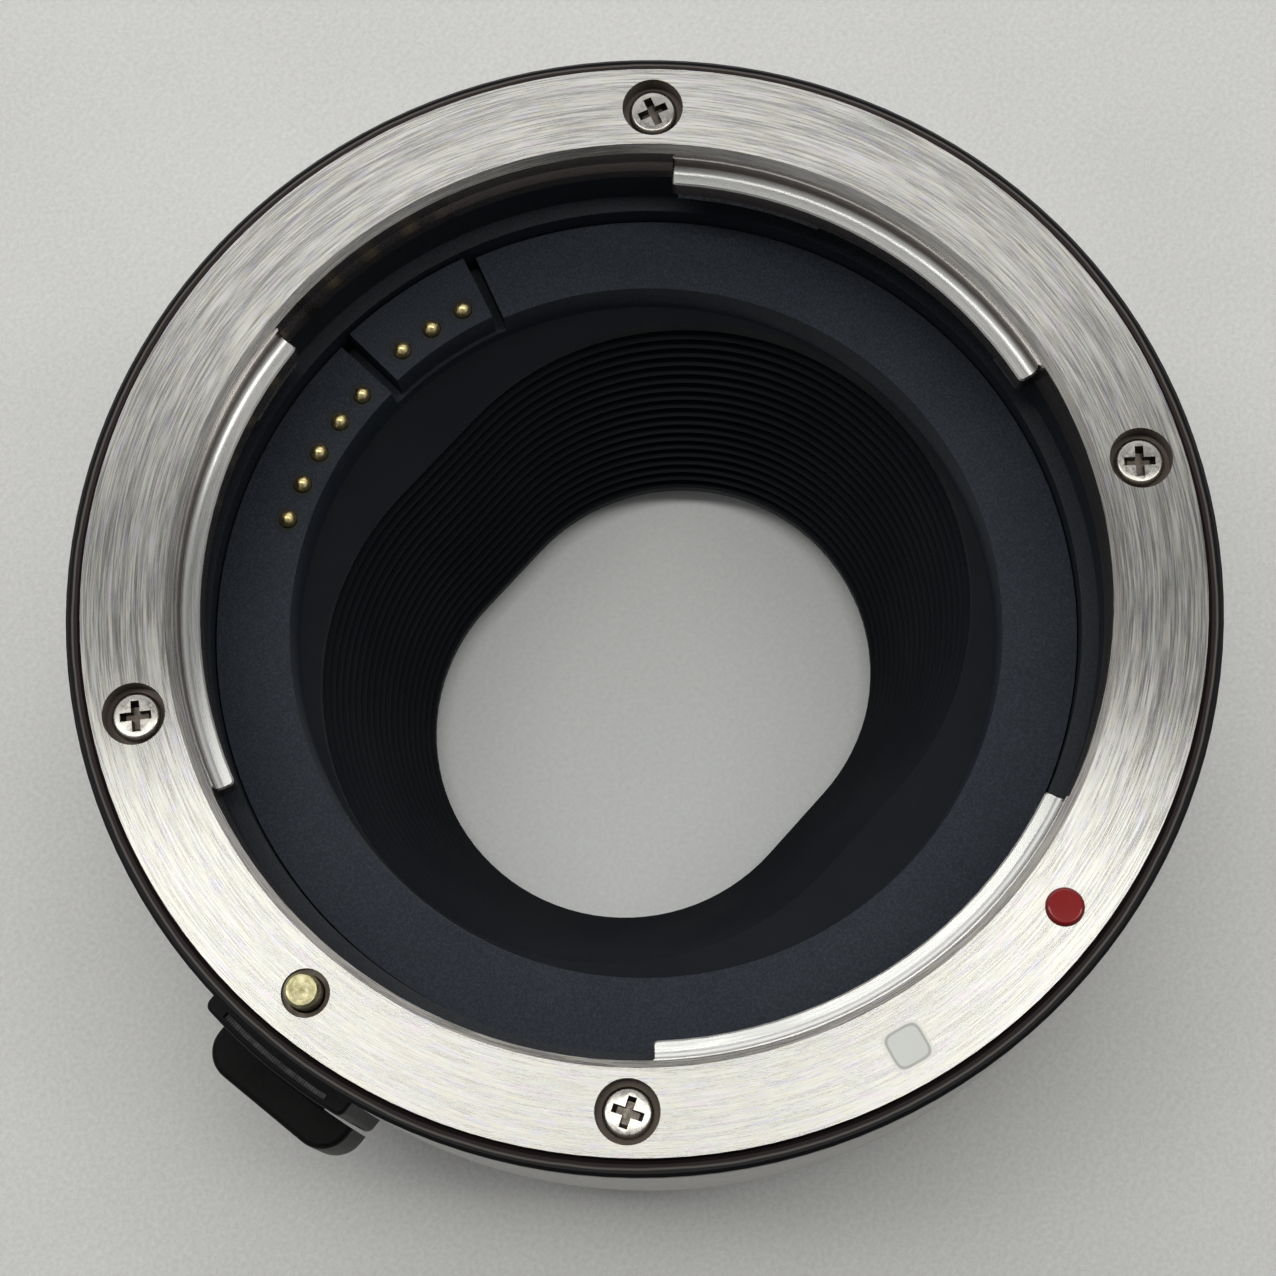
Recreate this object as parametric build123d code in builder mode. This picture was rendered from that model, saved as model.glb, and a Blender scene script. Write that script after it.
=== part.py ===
from build123d import *

import os
from math import atan, cos, degrees, hypot, radians, sin

# Lens mount adapter. Millimetres, +Z towards the lens, the optical axis on Z.
# The origin is the centre of the lens flange's face. +Y points to the red lens
# index, +X to the lock pin and the release lever, -Y to the contacts.
# Depths are measured down from the lens flange's face, angles from +X.

os.makedirs("parts", exist_ok=True)

# Overall
flange_distance = 26.0  # from the lens flange's face to the camera flange's face
running_gap = 0.05  # between neighbours that are put together by hand
slide_gap = 0.25  # between the lever and the walls that it slides past
cut_margin = 1.0  # how far a cut runs past the face that it opens

# Lens mount ring
throat_radius = 27.0
throat_bevel = 0.44
throat_step = 0.1
throat_step_depth = 1.65
throat_step_foot_depth = 2.65
throat_foot_depth = 3.55
flange_width = 5.3
flange_radius = throat_radius + flange_width
flange_thickness = 2.2
skirt_wall = 1.0
skirt_undercut = 0.5
skirt_depth = 4.6
tab_reach = 1.25
tab_depth = 2.0
tab_thickness = 1.5
tab_land = 0.12
tab_land_depth = 0.84
tab_root = 0.5
tab_corner = 0.3
tab_chamfer = 0.1
tab_spans = [(39.9, 101.5), (158.3, 214.5), (271.6, 333.9)]

# Leaf springs under the tabs: the lengths of their thicker ends, in degrees
spring_strip = 0.35
spring_inset = 0.1
spring_width = 0.95
spring_end_thickness = 0.4
spring_ends = [(8.0, 8.0), (5.0, 19.5), (9.5, 6.0)]
spring_margin = 0.8

# Screws of the lens mount ring
screw_circle_radius = throat_radius + 2.8
lens_screw_angles = [37.15, 142.85, 217.15, 322.85]
lens_screw_turns = [20.0, 40.0, 62.0, 45.0]
screw_sunk = 0.6
screw_head_radius = 1.5
screw_head_height = 0.65
screw_recess_radius = 1.82
screw_shank_radius = 0.8
screw_hole_radius = 0.95
screw_length = 4.4
cross_span = 1.85
cross_arm = 0.5
cross_depth = 0.4

# Lens indices
red_dot_radius = 1.1
red_dot_circle_radius = throat_radius + 2.98
red_dot_angle = 90.0
red_dot_dome = 0.25
index_depth = 0.7
white_square_side = 2.4
white_square_corner = 0.5
white_square_circle_radius = throat_radius + 3.07
white_square_angle = 67.6

# Top bezel
bezel_radius = flange_radius + 1.0
bezel_top_depth = 0.6
bezel_edge_depth = 1.65
bezel_rim_gap = 0.1
bezel_rim_wall = 0.35
bezel_plate = 0.8
bezel_chamfer = 0.2

# Barrel
barrel_radius = flange_radius + 0.9
barrel_taper_height = 9.0
barrel_rear_radius = barrel_radius - 0.4
barrel_rear_edge = 0.8
barrel_shelf_thickness = 3.0
barrel_bore_radius = barrel_radius - 1.8
barrel_floor_thickness = 1.5
barrel_floor_gap = 0.8

# Inner housing
ledge_depth = 6.65
recess_wall_radius = throat_radius - 1.0
housing_wall = 2.0
housing_flange_thickness = 1.35
housing_flange_radius = barrel_bore_radius - 0.2
housing_lip_height = 2.25
housing_lip_thickness = 1.2
housing_lip_radius = recess_wall_radius - 3.1
housing_screw_angles = [75.0, 185.0, 290.0]
housing_screw_bite = 1.8

# Contact ring and its raised block
ring_depth = ledge_depth + 1.52
ring_thickness = 2.43
ring_width = 4.53
ring_bore_radius = recess_wall_radius - ring_width
ring_bore_taper = 0.27
block_rise = 0.85
block_angle = -106.1
block_span = 19.0
block_side_gap = 0.8
block_seat = 0.8

# Contact pins, their chambers, springs and carrier
pin_circle_radius = ring_bore_radius + 1.3
low_pin_angles = [-91.4, -85.9, -80.0, -74.4, -68.4]
high_pin_angles = [-111.9, -106.2, -100.5]
pin_radius = 0.52
pin_hole_radius = 0.6
pin_rise = 0.65
pin_collar_radius = 0.72
pin_collar_height = 0.4
pin_collar_depth = 1.15
pin_tail_radius = 0.28
pin_tail_length = 1.2
chamber_radius = 0.8
contact_spring_radius = 0.52
contact_spring_wire = 0.16
contact_spring_turns = 3
carrier_height = 2.95
carrier_floor = 0.5
carrier_inner_radius = ring_bore_radius + 0.18
carrier_outer_radius = recess_wall_radius - 0.4
carrier_margin = 6.1
carrier_side_angle = 1.0
flex_thickness = 0.2
flex_width = 9.0
flex_gap = 0.3

# Screws that hold the contact ring and the baffle to the housing's lip
ring_screw_angles = [25.0, 90.0, 155.0]
ring_screw_circle_radius = recess_wall_radius - 1.5
ring_screw_bite = 1.1
small_screw_head_radius = 1.2
small_screw_head_height = 0.7
small_screw_shank_radius = 0.7
small_screw_hole_radius = 0.8

# Light baffle: a funnel with saw-tooth ribs and a slot-shaped rear opening
shoulder_height = 1.6
rib_count = 19
rib_groove = 0.3
baffle_end_depth = flange_distance + 3.0
rib_end_depth = baffle_end_depth - 0.75
baffle_top_half_width = ring_bore_radius - 3.77
baffle_top_half_centres = 3.4
baffle_end_half_width = 12.85
baffle_end_half_centres = 2.75
baffle_turn = -3.5
baffle_wall = 0.9

# Lock pin, its spring and the slide that carries them
lock_pin_circle_radius = throat_radius + 2.76
lock_pin_radius = 1.0
lock_pin_chamfer = 0.15
lock_pin_rise = 1.5
lock_pin_hole_radius = 1.375
lock_pin_guide_gap = 0.1
lock_travel = 2.0
lock_pin_tail_radius = 0.5
lock_pin_tail_length = 1.6
lock_spring_radius = 0.95
lock_spring_wire = 0.3
lock_spring_turns = 5
spring_post_height = 1.5
carriage_head = 4.5
carriage_height = 8.4
carriage_half_width = 3.6
carriage_outer_gap = 0.3

# Release lever and its bezel
lever_foot_height = 6.0
lever_height = 6.5
lever_half_width = 5.0
lever_bezel_radius = barrel_radius + 1.1
lever_reach = lever_bezel_radius + 2.3
lever_corner = 1.9
lever_edge = 0.35
stem_drop = 0.3
stem_height = 2.4
stem_half_width = 2.5
lever_bezel_depth = 5.0
lever_bezel_end_height = 7.0
lever_bezel_half_width = 5.1
lever_bezel_edge = 0.25
lever_bezel_corner = 0.5
lever_bezel_groove_inset = 0.35
lever_bezel_groove_width = 0.35
lever_bezel_groove_depth = 0.3
lever_bezel_groove_span = 13.0
window_wall = 0.6

# Camera mount ring
camera_flange_radius = barrel_rear_radius - 2.9
camera_flange_thickness = 1.0
camera_neck_inset = 4.3
camera_neck_radius = throat_radius - camera_neck_inset
camera_relief_width = 0.9
camera_relief_depth = 0.3
camera_bore_radius = camera_neck_radius - 1.9
camera_seat_radius = camera_bore_radius - 0.8
camera_seat_thickness = 1.2
camera_mount_height = 5.0
lug_reach = 0.75
lug_start = 1.7
lug_thickness = 1.5
lug_span = 56.0
lug_angles = [20.0, 140.0, 260.0]
camera_screw_angles = [45.0, 135.0, 225.0, 315.0]
camera_screw_offset = 3.9
camera_screw_circle_radius = camera_neck_radius + camera_screw_offset
camera_screw_head_radius = 1.5
camera_screw_length = 2.3
lock_slot_angle = 180.0
lock_slot_circle_radius = camera_screw_circle_radius
lock_slot_radius = 1.3
lock_slot_depth = 0.7

# Rear cover and the camera contacts
cover_thickness = 1.2
cover_gap = 0.15
rear_block_width = 4.3
rear_block_span = 66.0
rear_block_height = 3.0
pad_count = 9
pad_pitch_angle = 6.4
pad_length = 1.9
pad_width = 1.2
pad_thickness = 0.4
pad_proud = 0.1
camera_index_radius = 1.0
camera_index_angle = 130.0
camera_index_height = 3.5
camera_index_sunk = 0.4

# Places worked out from the sizes above
tab_radius = throat_radius - tab_reach
tab_foot_depth = tab_depth + tab_thickness
skirt_radius = throat_radius + skirt_wall
undercut_radius = throat_radius + skirt_undercut
screw_seat_depth = screw_sunk + screw_head_height
bezel_plate_depth = flange_thickness + bezel_plate
bezel_rim_radius = flange_radius + bezel_rim_gap
bezel_body_radius = bezel_rim_radius + bezel_rim_wall
shelf_depth = bezel_plate_depth + barrel_shelf_thickness
barrel_end_depth = flange_distance - camera_flange_thickness
barrel_floor_depth = barrel_end_depth - barrel_floor_thickness
barrel_floor_bore_radius = camera_neck_radius + barrel_floor_gap
barrel_taper_depth = barrel_end_depth - barrel_taper_height
camera_index_depth = barrel_end_depth - camera_index_height
shelf_bore_radius = skirt_radius + 2 * running_gap
housing_top_depth = skirt_depth + running_gap
housing_collar_depth = throat_foot_depth + running_gap
housing_radius = recess_wall_radius + housing_wall
housing_screw_circle_radius = (housing_radius + housing_flange_radius) / 2
housing_flange_depth = shelf_depth + running_gap
housing_flange_foot = housing_flange_depth + housing_flange_thickness
ring_radius = recess_wall_radius - 2 * running_gap
ring_foot_depth = ring_depth + ring_thickness
shoulder_depth = ring_foot_depth
rib_start_depth = shoulder_depth + shoulder_height
housing_lip_depth = shoulder_depth + housing_lip_height
housing_foot_depth = housing_lip_depth + housing_lip_thickness
block_depth = ring_depth - block_rise
block_foot_depth = ring_foot_depth - block_seat
lock_pin_guide_radius = lock_pin_radius + lock_pin_guide_gap
lever_bezel_end_depth = barrel_end_depth - lever_bezel_end_height
lever_depth = lever_bezel_end_depth - lever_foot_height
stem_depth = lever_depth + stem_drop
carriage_depth = stem_depth - carriage_head
carriage_foot_depth = carriage_depth + carriage_height
stem_foot_depth = stem_depth + stem_height
window_half_width = stem_half_width + slide_gap + window_wall
window_top_depth = stem_depth - slide_gap - window_wall
window_foot_depth = stem_foot_depth + lock_travel + slide_gap + window_wall
camera_end_depth = flange_distance + camera_mount_height
lug_depth = flange_distance + lug_start
cover_depth = barrel_end_depth + camera_seat_thickness + running_gap
cover_foot_depth = cover_depth + cover_thickness
cover_radius = camera_bore_radius - 2 * running_gap
rear_block_depth = cover_foot_depth
rear_block_foot = rear_block_depth + rear_block_height
rear_block_inner_radius = cover_radius - rear_block_width
pad_circle_radius = cover_radius - rear_block_width / 2
camera_relief_radius = camera_neck_radius + camera_relief_width
carrier_top_depth = ring_foot_depth + running_gap
carrier_depth = carrier_top_depth + carrier_height
carrier_floor_depth = carrier_depth - carrier_floor
contact_middle = (high_pin_angles[0] + low_pin_angles[-1]) / 2
carrier_span = low_pin_angles[-1] - high_pin_angles[0] + 2 * carrier_margin
rib_pitch = (rib_end_depth - rib_start_depth) / rib_count
funnel_slope = (baffle_top_half_width - baffle_end_half_width) / (rib_end_depth - rib_start_depth)
tube_half_width = baffle_top_half_width + rib_groove + baffle_wall
tube_height = baffle_end_depth - rib_start_depth
tube_drop = baffle_top_half_width - baffle_end_half_width
flex_offset = tube_half_width + flex_gap


def point(radius, angle):
    """Place in plan at a radius and an angle."""
    return (radius * cos(radians(angle)), radius * sin(radians(angle)))


def level(depth):
    """Plane at a depth below the lens flange's face."""
    return Plane.XY.offset(-depth)


def below(depth):
    """Plane at a depth that looks down, towards the camera."""
    return Plane(origin=(0, 0, -depth), x_dir=(1, 0, 0), z_dir=(0, 0, -1))


def seats(radius, angles, depth):
    """Locations on a circle at a depth, each turned to its angle."""
    return [Location((*point(radius, angle), -depth), (0, 0, angle)) for angle in angles]


def disc(outer, inner, depth):
    """Flat ring between two radii."""
    with BuildSketch(level(depth)) as face:
        Circle(outer)
        if inner > 0:
            Circle(inner, mode=Mode.SUBTRACT)
    return face.sketch


def sector(outer, inner, start, end, depth):
    """Flat piece of a ring between two radii and two angles."""
    with BuildSketch(level(depth)) as face:
        with BuildLine():
            CenterArc((0, 0), outer, start, end - start)
            CenterArc((0, 0), inner, start, end - start)
            Line(point(inner, start), point(outer, start))
            Line(point(inner, end), point(outer, end))
        make_face()
    return face.sketch


def stadium(half_width, half_centres, depth):
    """Slot outline with its flats near X, turned as the rear opening is."""
    with BuildSketch(level(depth)) as face:
        SlotCenterToCenter(2 * half_centres, 2 * half_width, rotation=baffle_turn)
    return face.sketch


def turned(points):
    """Half section of a turned piece, from radius and depth pairs."""
    with BuildSketch(Plane.XZ) as face:
        with BuildLine():
            Polyline([(radius, -depth) for radius, depth in points], close=True)
        make_face()
    return face.sketch


def edges_on(arcs, radius, depth):
    """Arcs of a radius that lie at a depth."""
    return [arc for arc in arcs if abs(arc.radius - radius) < 0.01 and abs(arc.center().Z + depth) < 0.01]


def coil(radius, wire, turns, height):
    """Coil spring of square wire that stands on the origin."""
    with BuildPart() as spring:
        with BuildLine() as path:
            Helix(pitch=(height - wire) / turns, height=height - wire, radius=radius, center=(0, 0, wire / 2))
        with BuildSketch(Plane(origin=path.line @ 0, z_dir=path.line % 0)):
            Rectangle(wire, wire)
        sweep(is_frenet=True)
    return spring.part


# Lens mount ring: flange, throat, skirt, three tabs and the screw seats
with BuildPart() as lens_mount_ring:
    revolve(
        turned(
            [
                (throat_radius + throat_bevel, 0),
                (flange_radius, 0),
                (flange_radius, flange_thickness),
                (skirt_radius, flange_thickness),
                (skirt_radius, skirt_depth),
                (undercut_radius, skirt_depth),
                (undercut_radius, throat_foot_depth),
                (throat_radius - throat_step, throat_foot_depth),
                (throat_radius - throat_step, throat_step_foot_depth),
                (throat_radius, throat_step_depth),
                (throat_radius, throat_bevel),
            ]
        ),
        axis=Axis.Z,
    )
    for start, end in tab_spans:
        tab_root_radius = throat_radius + skirt_wall / 2
        extrude(sector(tab_root_radius, tab_radius, start, end, tab_depth), amount=-tab_thickness)
        land_height = tab_depth - tab_land_depth
        land_radius = throat_radius - tab_land
        extrude(sector(tab_root_radius, land_radius, start, end, tab_land_depth), amount=-land_height)
    roots = edges_on(lens_mount_ring.edges().filter_by(GeomType.CIRCLE), land_radius, tab_depth)
    fillet(roots, tab_root)
    ends = lens_mount_ring.edges().filter_by(Axis.Z)
    ends = [end for end in ends if abs(hypot(end.center().X, end.center().Y) - tab_radius) < 0.01]
    fillet(ends, tab_corner)
    rims = edges_on(lens_mount_ring.edges().filter_by(GeomType.CIRCLE), tab_radius, tab_depth)
    chamfer(rims, tab_chamfer)
    with Locations(*seats(screw_circle_radius, lens_screw_angles, 0)):
        CounterBoreHole(screw_hole_radius, screw_recess_radius, screw_seat_depth, depth=flange_thickness)
    with Locations(*seats(lock_pin_circle_radius, [0], 0)):
        Hole(lock_pin_hole_radius, depth=flange_thickness)
    with Locations(*seats(red_dot_circle_radius, [red_dot_angle], 0)):
        Hole(red_dot_radius, depth=index_depth)
    with BuildSketch():
        with Locations(*seats(white_square_circle_radius, [white_square_angle], 0)):
            RectangleRounded(white_square_side, white_square_side, white_square_corner)
    extrude(amount=-index_depth, mode=Mode.SUBTRACT)

# Leaf springs: a strip along each tab's underside, thicker at both ends
leaf_springs = []
for (start, end), (first_end, last_end) in zip(tab_spans, spring_ends):
    strip_inner = tab_radius + spring_inset
    strip_outer = strip_inner + spring_width
    strip_start = start + spring_margin
    strip_end = end - spring_margin
    strip_foot = tab_foot_depth + spring_strip
    with BuildPart() as leaf_spring:
        strip = sector(strip_outer, strip_inner, strip_start, strip_end, tab_foot_depth)
        extrude(strip, amount=-spring_strip)
        thick = sector(strip_outer, strip_inner, strip_start, strip_start + first_end, strip_foot)
        extrude(thick, amount=-spring_end_thickness)
        thick = sector(strip_outer, strip_inner, strip_end - last_end, strip_end, strip_foot)
        extrude(thick, amount=-spring_end_thickness)
    leaf_springs.append(leaf_spring)

# Lens mount screws
with BuildPart() as lens_mount_screws:
    with Locations(*seats(screw_circle_radius, lens_screw_angles, screw_seat_depth)):
        Cylinder(screw_head_radius, screw_head_height, align=(Align.CENTER, Align.CENTER, Align.MIN))
        Cylinder(screw_shank_radius, screw_length, align=(Align.CENTER, Align.CENTER, Align.MAX))
    for angle, turn in zip(lens_screw_angles, lens_screw_turns):
        with BuildSketch(level(screw_sunk)):
            with Locations(Location((*point(screw_circle_radius, angle), 0), (0, 0, turn))):
                Rectangle(cross_span, cross_arm)
                Rectangle(cross_arm, cross_span)
        extrude(amount=-cross_depth, mode=Mode.SUBTRACT)

# Lens indices
with BuildPart() as red_index_dot:
    with Locations(*seats(red_dot_circle_radius, [red_dot_angle], index_depth)):
        dot_height = index_depth + red_dot_dome
        Cylinder(red_dot_radius, dot_height, align=(Align.CENTER, Align.CENTER, Align.MIN))
    fillet(red_index_dot.edges().group_by(Axis.Z)[-1], red_dot_dome)

with BuildPart() as white_index_square:
    with BuildSketch(level(index_depth)):
        with Locations(*seats(white_square_circle_radius, [white_square_angle], 0)):
            RectangleRounded(white_square_side, white_square_side, white_square_corner)
    extrude(amount=index_depth)

# Top bezel: a rim round the flange on a plate between flange and barrel
with BuildPart() as top_bezel:
    revolve(
        turned(
            [
                (skirt_radius + 2 * running_gap, flange_thickness),
                (bezel_rim_radius, flange_thickness),
                (bezel_rim_radius, bezel_top_depth + bezel_chamfer),
                (bezel_rim_radius + bezel_chamfer, bezel_top_depth),
                (bezel_radius - bezel_chamfer, bezel_top_depth),
                (bezel_radius, bezel_top_depth + bezel_chamfer),
                (bezel_radius, bezel_edge_depth),
                (bezel_body_radius, bezel_edge_depth),
                (bezel_body_radius, bezel_plate_depth),
                (skirt_radius + 2 * running_gap, bezel_plate_depth),
            ]
        ),
        axis=Axis.Z,
    )
    with Locations(*seats(screw_circle_radius, lens_screw_angles, flange_thickness)):
        Hole(screw_hole_radius, depth=bezel_plate)
    with Locations(*seats(lock_pin_circle_radius, [0], flange_thickness)):
        Hole(lock_pin_hole_radius, depth=bezel_plate)

# Barrel: outer wall, shelf for the lens side, floor for the camera side
with BuildPart() as barrel:
    revolve(
        turned(
            [
                (bezel_body_radius + running_gap, bezel_edge_depth),
                (barrel_radius, bezel_edge_depth),
                (barrel_radius, barrel_taper_depth),
                (barrel_rear_radius, barrel_end_depth - barrel_rear_edge),
                (barrel_rear_radius - barrel_rear_edge, barrel_end_depth),
                (barrel_floor_bore_radius, barrel_end_depth),
                (barrel_floor_bore_radius, barrel_floor_depth),
                (barrel_bore_radius, barrel_floor_depth),
                (barrel_bore_radius, shelf_depth),
                (shelf_bore_radius, shelf_depth),
                (shelf_bore_radius, bezel_plate_depth),
                (bezel_body_radius + running_gap, bezel_plate_depth),
            ]
        ),
        axis=Axis.Z,
    )
    with Locations(*seats(screw_circle_radius, lens_screw_angles, bezel_plate_depth)):
        Hole(screw_shank_radius + running_gap, depth=barrel_shelf_thickness)
    with Locations(*seats(lock_pin_circle_radius, [0], bezel_plate_depth)):
        Hole(lock_pin_guide_radius, depth=barrel_shelf_thickness)
    with BuildSketch(below(shelf_depth)):
        with Locations(*[point(housing_screw_circle_radius, -angle) for angle in housing_screw_angles]):
            Circle(small_screw_shank_radius + running_gap)
    extrude(amount=-housing_screw_bite, mode=Mode.SUBTRACT)
    with BuildSketch(level(barrel_floor_depth)):
        with Locations(*[point(camera_screw_circle_radius, angle) for angle in camera_screw_angles]):
            Circle(small_screw_shank_radius + running_gap)
    extrude(amount=-barrel_floor_thickness, mode=Mode.SUBTRACT)
    with BuildSketch(Plane.YZ.offset(housing_radius)):
        window_height = window_foot_depth - window_top_depth + 2 * running_gap
        with Locations((0, -(window_top_depth + window_foot_depth) / 2)):
            Rectangle(2 * (window_half_width + running_gap), window_height)
    extrude(amount=barrel_radius - housing_radius, mode=Mode.SUBTRACT)
    with Locations((lock_pin_circle_radius, 0, -barrel_floor_depth)):
        Cylinder(lock_pin_tail_radius, spring_post_height, align=(Align.CENTER, Align.CENTER, Align.MIN))
    with Locations(Plane(origin=(*point(barrel_rear_radius, camera_index_angle), -camera_index_depth),
                         z_dir=(*point(1, camera_index_angle), 0))):
        Cylinder(camera_index_radius, 2 * camera_index_sunk, mode=Mode.SUBTRACT)

# White mark for the camera side, flush in the barrel
with BuildPart() as camera_index_dot:
    with Locations(Plane(origin=(*point(barrel_rear_radius, camera_index_angle), -camera_index_depth),
                         z_dir=(*point(1, camera_index_angle), 0))):
        Cylinder(camera_index_radius, camera_index_sunk, align=(Align.CENTER, Align.CENTER, Align.MAX))

# Inner housing: black sleeve with the ledge round the contact ring
with BuildPart() as inner_housing:
    revolve(
        turned(
            [
                (throat_radius, housing_collar_depth),
                (undercut_radius - running_gap, housing_collar_depth),
                (undercut_radius - running_gap, housing_top_depth),
                (skirt_radius, housing_top_depth),
                (skirt_radius, housing_flange_depth),
                (housing_flange_radius, housing_flange_depth),
                (housing_flange_radius, housing_flange_foot),
                (housing_radius, housing_flange_foot),
                (housing_radius, housing_foot_depth),
                (housing_lip_radius, housing_foot_depth),
                (housing_lip_radius, housing_lip_depth),
                (recess_wall_radius, housing_lip_depth),
                (recess_wall_radius, ledge_depth),
                (throat_radius, ledge_depth),
            ]
        ),
        axis=Axis.Z,
    )
    with Locations(*seats(lock_pin_circle_radius, [0], housing_flange_depth)):
        Hole(lock_pin_hole_radius, depth=housing_flange_thickness)
    with Locations(*seats(housing_screw_circle_radius, housing_screw_angles, housing_flange_depth)):
        Hole(small_screw_hole_radius, depth=housing_flange_thickness)
    with Locations(*seats(ring_screw_circle_radius, ring_screw_angles, housing_lip_depth)):
        Hole(small_screw_hole_radius, depth=housing_lip_thickness)
    lip_start = contact_middle - carrier_span / 2 - carrier_side_angle
    lip_end = contact_middle + carrier_span / 2 + carrier_side_angle
    lip_inner = housing_lip_radius - cut_margin
    lip_cut = sector(recess_wall_radius, lip_inner, lip_start, lip_end, housing_lip_depth)
    extrude(lip_cut, amount=-housing_lip_thickness, mode=Mode.SUBTRACT)

# Contact ring: flat ring with the pins' chambers and a seat for the raised block
block_start = block_angle - block_span / 2
block_end = block_angle + block_span / 2
side_gap_angle = degrees(block_side_gap / recess_wall_radius)
with BuildPart() as contact_ring:
    revolve(
        turned(
            [
                (ring_bore_radius, ring_depth),
                (ring_radius, ring_depth),
                (ring_radius, ring_foot_depth),
                (ring_bore_radius - ring_bore_taper, ring_foot_depth),
            ]
        ),
        axis=Axis.Z,
    )
    seat_start = block_start - side_gap_angle
    seat_end = block_end + side_gap_angle
    seat = sector(recess_wall_radius, ring_bore_radius - cut_margin, seat_start, seat_end, ring_depth)
    extrude(seat, amount=block_foot_depth - ring_depth, dir=(0, 0, -1), mode=Mode.SUBTRACT)
    with Locations(*seats(pin_circle_radius, low_pin_angles, ring_depth)):
        Hole(pin_hole_radius, depth=ring_thickness)
    with Locations(*seats(pin_circle_radius, low_pin_angles, ring_depth + pin_collar_depth)):
        Hole(chamber_radius, depth=ring_thickness - pin_collar_depth)
    with Locations(*seats(pin_circle_radius, high_pin_angles, block_foot_depth)):
        Hole(chamber_radius, depth=ring_foot_depth - block_foot_depth)
    with BuildSketch(below(ring_foot_depth)):
        with Locations(*[point(ring_screw_circle_radius, -angle) for angle in ring_screw_angles]):
            Circle(small_screw_shank_radius + running_gap)
    extrude(amount=-ring_screw_bite, mode=Mode.SUBTRACT)

# Raised contact block
with BuildPart() as raised_contact_block:
    block_inner = ring_bore_radius + running_gap
    block = sector(ring_radius - running_gap, block_inner, block_start, block_end, block_depth)
    extrude(block, amount=block_foot_depth - block_depth, dir=(0, 0, -1))
    with Locations(*seats(pin_circle_radius, high_pin_angles, block_depth)):
        Hole(pin_hole_radius, depth=block_foot_depth - block_depth)
    with Locations(*seats(pin_circle_radius, high_pin_angles, block_depth + pin_collar_depth)):
        Hole(chamber_radius, depth=block_foot_depth - block_depth - pin_collar_depth)

# Contact carrier: insulating block with the lower half of the pins' chambers
with BuildPart() as contact_carrier:
    carrier_start = contact_middle - carrier_span / 2
    carrier_end = contact_middle + carrier_span / 2
    body = sector(carrier_outer_radius, carrier_inner_radius, carrier_start, carrier_end, carrier_top_depth)
    extrude(body, amount=carrier_depth - carrier_top_depth, dir=(0, 0, -1))
    with Locations(*seats(pin_circle_radius, high_pin_angles + low_pin_angles, carrier_top_depth)):
        Hole(chamber_radius, depth=carrier_floor_depth - carrier_top_depth)


def contact_pin(angle, face_depth):
    """Sprung pin with a domed end, a collar and a tail inside its spring."""
    with BuildPart() as pin:
        dome_height = pin_radius
        collar_top = face_depth + pin_collar_depth + running_gap
        collar_foot = collar_top + pin_collar_height
        with Locations(*seats(pin_circle_radius, [angle], collar_top)):
            shaft = collar_top - face_depth + pin_rise - dome_height
            Cylinder(pin_radius, shaft, align=(Align.CENTER, Align.CENTER, Align.MIN))
            Cylinder(pin_collar_radius, pin_collar_height, align=(Align.CENTER, Align.CENTER, Align.MAX))
        with Locations(*seats(pin_circle_radius, [angle], collar_foot)):
            Cylinder(pin_tail_radius, pin_tail_length, align=(Align.CENTER, Align.CENTER, Align.MAX))
        with Locations(*seats(pin_circle_radius, [angle], face_depth - pin_rise + dome_height)):
            Sphere(pin_radius)
    return pin


def contact_spring(angle, face_depth):
    """Coil between a pin's collar and the floor of its chamber."""
    top = face_depth + pin_collar_depth + running_gap + pin_collar_height
    height = carrier_floor_depth - top - 2 * running_gap
    turns = contact_spring_turns
    with BuildPart() as spring:
        with Locations(*seats(pin_circle_radius, [angle], carrier_floor_depth - running_gap)):
            add(coil(contact_spring_radius, contact_spring_wire, turns, height))
    return spring


# Contact pins and their springs, the raised ones first
contact_pins = []
contact_springs = []
for angle in high_pin_angles:
    contact_pins.append(contact_pin(angle, block_depth))
    contact_springs.append(contact_spring(angle, block_depth))
for angle in low_pin_angles:
    contact_pins.append(contact_pin(angle, ring_depth))
    contact_springs.append(contact_spring(angle, ring_depth))

# Flexible circuit: under the carrier, then down to the camera contacts
with BuildPart() as flex_circuit:
    flex_depth = carrier_depth + running_gap
    flex_place = point(flex_offset, baffle_turn - 90)
    with BuildSketch(level(flex_depth)):
        with Locations(Location((*flex_place, 0), (0, 0, baffle_turn))):
            Rectangle(flex_width, carrier_outer_radius - flex_offset, align=(Align.CENTER, Align.MAX))
    extrude(amount=-flex_thickness)
    with Locations(Location((*flex_place, -flex_depth), (0, 0, baffle_turn))):
        Box(
            flex_width,
            flex_thickness,
            cover_foot_depth - running_gap - flex_depth,
            align=(Align.CENTER, Align.MAX, Align.MAX),
        )

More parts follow.
